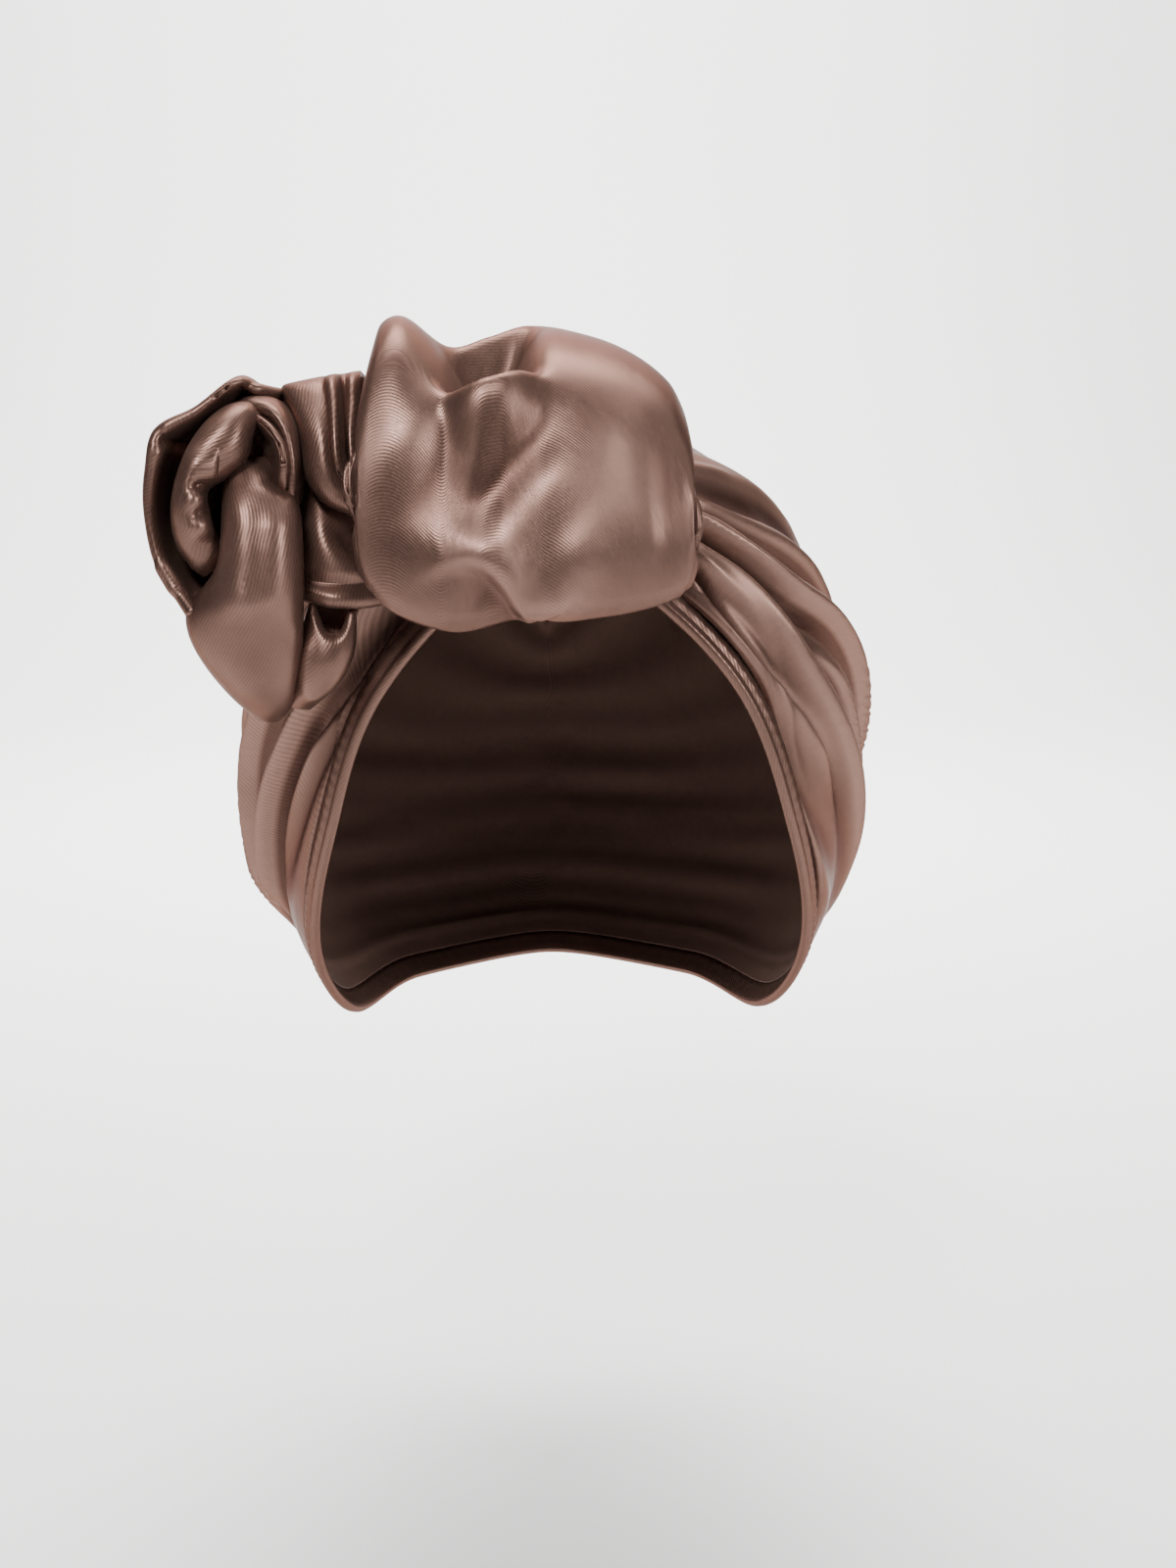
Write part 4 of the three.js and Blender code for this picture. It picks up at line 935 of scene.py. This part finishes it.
rosetteLeaf = {
    "wall": 1.5, "rows": 200, "steps": 120, "flat": (0.052, 0.08),
    "edges": [
        (0.00, -61.3, 4.6, -62.2, 1.6, -66, 10),
        (0.10, -63.7, 4.2, -65.5, 1.2, -74, 14),
        (0.19, -67.9, 5.1, -68.8, 1.3, -80, 16),
        (0.27, -71.9, 6.6, -72.8, 1.2, -84, 17),
        (0.38, -80.6, 0.1, -77.9, -2.6, -87, 18),
        (0.49, -89.2, -4.7, -82.6, -7.4, -89, 18),
        (0.57, -91.2, -13.0, -84.3, -12.5, -90, 18),
        (0.66, -91.8, -21.3, -86.1, -21.3, -90, 18),
        (0.77, -90.3, -30.9, -84.6, -29.7, -91, 17),
        (0.87, -87.1, -37.4, -81.3, -35.5, -92, 14),
        (0.95, -84.6, -40.8, -79.0, -38.6, -94, 12),
        (1.00, -82.4, -43.6, -77.0, -41.0, -96, 10),
    ],
    "section": [
        (0, 0.3, 1), (0.12, 0.04, 0.62), (0.24, 0, 0.28), (0.36, 0.14, 0.02), (0.46, 0.36, 0.06),
        (0.58, 0.62, 0.42), (0.72, 1.1, 0.82), (0.86, 2.3, 1.08), (1, 4.0, 1.15),
    ],
    "folds": [
        {"way": [(-88.8, -5.9), (-85.9, -6.7), (-82.2, -7.4)], "height": -1.3, "up": 1.5, "down": 1.8},
        {"way": [(-90.6, -9.2), (-86.5, -9.4), (-83.4, -10.5)], "height": 0.7, "up": 2.2, "down": 2.2},
        {"way": [(-71.1, 5.7), (-70.1, 3.6), (-68.9, 1.3)], "height": -1.5, "up": 1.5, "down": 1.5},
        {"way": [(-69.8, 5.0), (-66.1, 3.8), (-62.2, 3.0)], "height": 0.9, "up": 1.8, "down": 2.2},
        {"way": [(-89.5, -31.9), (-87.1, -36.1), (-84.7, -40.4)], "height": 0.8, "up": 1.6, "down": 1.6},
    ],
}

rosetteLobe = {
    "wall": 1.5, "rows": 200, "steps": 130, "flat": (0.045, 0.075),
    "edges": [
        (0.00, -74.2, -10.1, -64.9, -10.9, -84, 8),
        (0.08, -74.1, -14.6, -61.6, -15.6, -92, 12),
        (0.17, -74.0, -21.1, -59.1, -21.1, -97, 16),
        (0.27, -74.1, -28.2, -58.4, -28.4, -99.6, 18),
        (0.35, -75.4, -33.8, -58.4, -34.2, -100.5, 19),
        (0.42, -78.6, -38.6, -58.5, -39.2, -100.8, 20),
        (0.49, -82.2, -42.8, -58.8, -44.2, -100.4, 20.5),
        (0.57, -81.8, -48.4, -59.2, -49.6, -99.2, 20.5),
        (0.68, -79.2, -55.0, -60.0, -56.0, -96.2, 20),
        (0.80, -75.9, -61.0, -61.3, -61.6, -91.4, 18),
        (0.91, -72.3, -65.8, -63.2, -66.0, -85.6, 14),
        (1.00, -69.6, -68.6, -65.8, -68.8, -79, 8),
    ],
    "section": [
        (0, 0.14, 0.98), (0.11, 0.01, 0.66), (0.2, 0, 0.4), (0.34, 0.16, 0.12), (0.5, 0.44, 0),
        (0.68, 0.74, 0.06), (0.8, 0.96, 0.26), (0.9, 1, 0.55), (1, 0.86, 1),
    ],
    "folds": [
        {
            "way": [(-71.0, -15.3), (-70.5, -25.1), (-70.1, -37.6), (-69.6, -45.9)],
            "height": 1.1, "up": 4.2, "down": 4.2,
        },
        {
            "way": [(-66.2, -16.9), (-66.1, -29.3), (-67.1, -41.7)],
            "height": -0.8, "up": 3.6, "down": 3.6,
        },
        {
            "way": [(-62.3, -20.0), (-62.1, -31.3), (-63.3, -46.0)],
            "height": 0.8, "up": 3.8, "down": 3.8,
        },
        {
            "way": [(-65.2, -13.2), (-62.0, -16.3), (-58.4, -18.6)],
            "height": -1.3, "up": 1.3, "down": 1.8,
        },
        {
            "way": [(-84.8, -42.1), (-79.1, -50.1), (-72.0, -56.9), (-66.8, -63.3)],
            "height": 0.9, "up": 3, "down": 4.5,
        },
        {
            "way": [(-59.2, -46.0), (-65.6, -51.8), (-73.6, -55.2)],
            "height": -0.7, "up": 5, "down": 5,
        },
        {
            "way": [(-82.3, -40.8), (-78.0, -38.8), (-74.6, -35.0), (-73.4, -29.2), (-73.3, -21.0)],
            "height": 0.7, "up": 1.4, "down": 1.4,
        },
    ],
}

rosetteRoll = {
    "wall": 1.5, "rows": 180, "steps": 110, "flat": (0.032, 0.048),
    "edges": [
        (0.00, -66.9, -0.5, -67.3, -2.6, -86, 8),
        (0.10, -69.6, 0.9, -68.8, -5.5, -90, 12),
        (0.20, -73.4, 0.0, -70.0, -9.6, -93, 15),
        (0.31, -77.8, -3.5, -73.6, -13.3, -95, 17),
        (0.42, -81.6, -9.2, -77.9, -16.3, -97, 18),
        (0.54, -84.2, -16.5, -78.5, -19.6, -98, 18),
        (0.66, -85.0, -23.1, -77.6, -23.9, -98, 18),
        (0.78, -84.2, -28.9, -76.5, -27.9, -97, 17),
        (0.89, -81.8, -33.2, -75.5, -30.9, -95, 15),
        (1.00, -79.2, -35.5, -75.5, -33.0, -92, 9),
    ],
    "section": [
        (0, 0.35, 1), (0.14, 0.02, 0.72), (0.28, 0, 0.38), (0.45, 0.22, 0.1), (0.62, 0.55, 0),
        (0.78, 0.86, 0.03), (0.88, 1, 0.14), (0.94, 1.03, 0.34), (1, 0.9, 0.52),
    ],
    "folds": [
        {
            "way": [(-81.5, -11.4), (-78.5, -11.8), (-75.1, -12.4)],
            "height": 0.7, "up": 2.8, "down": 2.8, "ends": (0.5, 0.1),
        },
        {
            "way": [(-81.0, -15.3), (-79.0, -16.1), (-76.6, -17.0)],
            "height": -1.1, "up": 1.7, "down": 1.7, "ends": (0.5, 0.05),
        },
        {
            "way": [(-81.6, -18.6), (-79.5, -19.0), (-77.0, -19.4)],
            "height": 0.9, "up": 1.9, "down": 1.9, "ends": (0.5, 0.05),
        },
        {
            "way": [(-81.0, -21.7), (-79.0, -21.9), (-76.6, -21.9)],
            "height": -0.9, "up": 1.6, "down": 1.6, "ends": (0.5, 0.05),
        },
        {
            "way": [(-81.8, -25.2), (-79.0, -24.8), (-76.2, -24.6)],
            "height": 0.7, "up": 2.2, "down": 2.2, "ends": (0.5, 0.05),
        },
        {
            "way": [(-81.2, -29.3), (-78.8, -28.5), (-76.3, -26.9)],
            "height": -0.5, "up": 2.0, "down": 2.0, "ends": (0.5, 0.05),
        },
    ],
}

rosetteArc = {
    "wall": 1.5, "rows": 100, "steps": 70, "flat": (0.026, 0.04),
    "edges": [
        (0.00, -75.3, -0.2, -71.5, -2.1, -80, 10),
        (0.16, -70.0, 2.3, -67.6, -2.1, -84, 12),
        (0.32, -64.1, 1.6, -64.3, -3.8, -87, 14),
        (0.50, -60.3, -2.6, -62.1, -7.1, -89, 15),
        (0.70, -58.7, -9.2, -61.1, -12.6, -90, 15),
        (0.88, -58.8, -15.5, -61.4, -17.2, -90, 14),
        (1.00, -59.5, -20.1, -61.6, -20.5, -89, 10),
    ],
    "section": [
        (0, 0, 1.2), (0.25, -0.02, 0.55), (0.45, 0.12, 0.18),
        (0.62, 0.42, 0), (0.8, 0.8, 0.22), (1, 1.15, 0.9),
    ],
    "folds": [
        {"way": [(-70.4, 1.6), (-68.8, 0.3), (-66.8, -1.3)], "height": -1.2, "up": 1.2, "down": 1.2},
        {"way": [(-63.4, -0.5), (-61.4, -4.6), (-60.3, -10.9)], "height": 0.6, "up": 1.8, "down": 1.8},
    ],
}

rosetteCore = {
    "wall": 1.5, "rows": 90, "steps": 80, "flat": (0.02, 0.025),
    "edges": [
        (0.00, -69.4, -4.9, -67.2, -1.7, -87, 8),
        (0.20, -69.5, -6.7, -64.2, -4.0, -90, 10),
        (0.42, -69.3, -9.2, -61.7, -7.6, -92, 12),
        (0.64, -68.8, -11.7, -60.9, -11.3, -93, 12),
        (0.84, -66.9, -13.8, -61.3, -14.6, -92, 10),
        (1.00, -65.1, -15.5, -61.8, -17.6, -90, 7),
    ],
    "section": [
        (0, -0.1, 1.1), (0.2, -0.04, 0.7), (0.4, 0.22, 0.95), (0.62, 0.62, 0.62),
        (0.8, 0.92, 0.06), (0.9, 1.04, 0.12), (1, 1.12, 0.9),
    ],
    "folds": [
        {"way": [(-68.0, -4.7), (-65.6, -5.9), (-63.1, -8.8)], "height": -0.9, "up": 1.6, "down": 1.6},
        {"way": [(-66.7, -3.8), (-64.3, -6.7), (-63.2, -10.9)], "height": 0.6, "up": 1, "down": 1.4},
    ],
}


patchWaviness = (0.22, 17)  # height and size
patchPathSteps = 20


def buildPatch(name, patch):
    keys = ["at", "x0", "z0", "x1", "z1", "front", "deep", "sag"]
    edges = [dict(zip(keys, (*r, 0))) for r in patch["edges"]]
    cut = [dict(zip(["at", "across", "back"], r)) for r in patch["section"]]
    t = np.linspace(0, 1, patch["rows"] + 1)[:, None]
    w = np.linspace(1, 0, patch["steps"] + 1)[None, :]
    at = lambda key: columnAt(edges, key, t)
    across = columnAt(cut, "across", w)
    x = at("x0") + (at("x1") - at("x0")) * across
    z = at("z0") + (at("z1") - at("z0")) * across - at("sag") * (1 - np.abs(2 * across - 1) ** 2.5)
    y = at("front") + at("deep") * columnAt(cut, "back", w)
    grid = np.stack(np.broadcast_arrays(x, y, z), -1)
    normals = gridNormals(grid)
    lift = flatFolds(grid, patch.get("folds", []), patchPathSteps)
    lift += softNoise(grid, *patchWaviness, len(name))
    lift *= np.clip(-normals[..., 1] * 1.6, 0, 1)  # only where the cloth faces forward
    grid = grid + normals * lift[..., None]
    # the lift also drives the painted shade in the valleys and the painted highlight on the ridges
    piece = sheetPiece(name + "_cloth", grid, patch["wall"], lift)
    dress(piece, name)


for name, patch in {
    "knot_band": knotBand,
    "knot_loop": knotLoop,
    "side_fold": sideFold,
    "rosette_leaf": rosetteLeaf,
    "rosette_lobe": rosetteLobe,
    "rosette_roll": rosetteRoll,
    "rosette_arc": rosetteArc,
    "rosette_core": rosetteCore,
}.items():
    buildPatch(name, patch)
say("knot and rosette made")

partMiddle = (-0.01, -0.02, -0.06)

studio = {  # in metres
    "floorLevel": -0.30,
    "floorSide": 4.0,
    "wallPlace": 2.2,  # the floor turns up behind into a pale wall
    "wallTop": 2.2,
    "turn": 0.8,
    "turnSteps": 16,
    "floorColor": (0.88, 0.87, 0.86, 1),
    "floorRoughness": 0.9,
    "worldColor": (0.97, 0.97, 0.97, 1),
    "worldStrength": 0.04,
    "lights": [  # place, aim, size, watts
        ((-0.30, -1.05, 0.95), partMiddle, 0.3, 18),
        ((0.85, -0.80, 0.35), partMiddle, 0.25, 8),
        ((0.0, 0.2, 1.3), partMiddle, 0.7, 12),
        ((0.0, 0.7, 1.6), (0.0, 2.2, 0.35), 1.2, 115),
        ((0.0, 0.9, 0.7), (0.0, 1.3, -0.3), 1.0, 30),
    ],
}


def placeAt(data, place, look):
    holder = bpy.data.objects.new(data.name, data)
    bpy.context.scene.collection.objects.link(holder)
    holder.location = place
    holder.rotation_mode = "QUATERNION"
    holder.rotation_quaternion = look.to_track_quat("-Z", "Y")
    return holder


def buildFloor():
    side, turn, wall = studio["floorSide"], studio["turn"], studio["wallPlace"]
    line = [(-side, 0.0)]
    for a in np.linspace(0, math.pi / 2, studio["turnSteps"] + 1):
        line.append((wall - turn + turn * math.sin(a), turn - turn * math.cos(a)))
    line.append((wall, studio["wallTop"]))
    verts = np.array([(x, y, studio["floorLevel"] + z) for y, z in line for x in (-side, side)])
    quads = np.array([[2 * i, 2 * i + 1, 2 * i + 3, 2 * i + 2] for i in range(len(line) - 1)])
    floor = makeMesh("floor", verts / mm, quads, verts[:, :2])
    paint = bpy.data.materials.new("floorPaint")
    paint.use_nodes = True
    shader = paint.node_tree.nodes["Principled BSDF"]
    shader.inputs["Base Color"].default_value = studio["floorColor"]
    shader.inputs["Roughness"].default_value = studio["floorRoughness"]
    floor.data.materials.append(paint)


def buildLights():
    world = bpy.data.worlds.new("studio")
    bpy.context.scene.world = world
    world.use_nodes = True
    background = world.node_tree.nodes["Background"]
    background.inputs["Color"].default_value = studio["worldColor"]
    background.inputs["Strength"].default_value = studio["worldStrength"]
    for place, aim, size, watts in studio["lights"]:
        lamp = bpy.data.lights.new("softbox", "AREA")
        lamp.energy = watts
        lamp.size = size
        placeAt(lamp, place, Vector(aim) - Vector(place))


camera = {
    "place": (-0.015, -0.500, -0.007),
    "pitch": 10.4,
    "yaw": 2.7,
    "lens": 42.75,
    "sensor": 36,
    "nearest": 0.01,
    "farthest": 60,
}


def buildCamera():
    data = bpy.data.cameras.new("camera")
    data.lens = camera["lens"]
    data.sensor_width = camera["sensor"]
    data.clip_start = camera["nearest"]
    data.clip_end = camera["farthest"]
    ahead = Vector(direction(180 - camera["yaw"], -camera["pitch"]))
    bpy.context.scene.camera = placeAt(data, camera["place"], ahead)


buildFloor()
buildLights()
buildCamera()
say("studio ready")
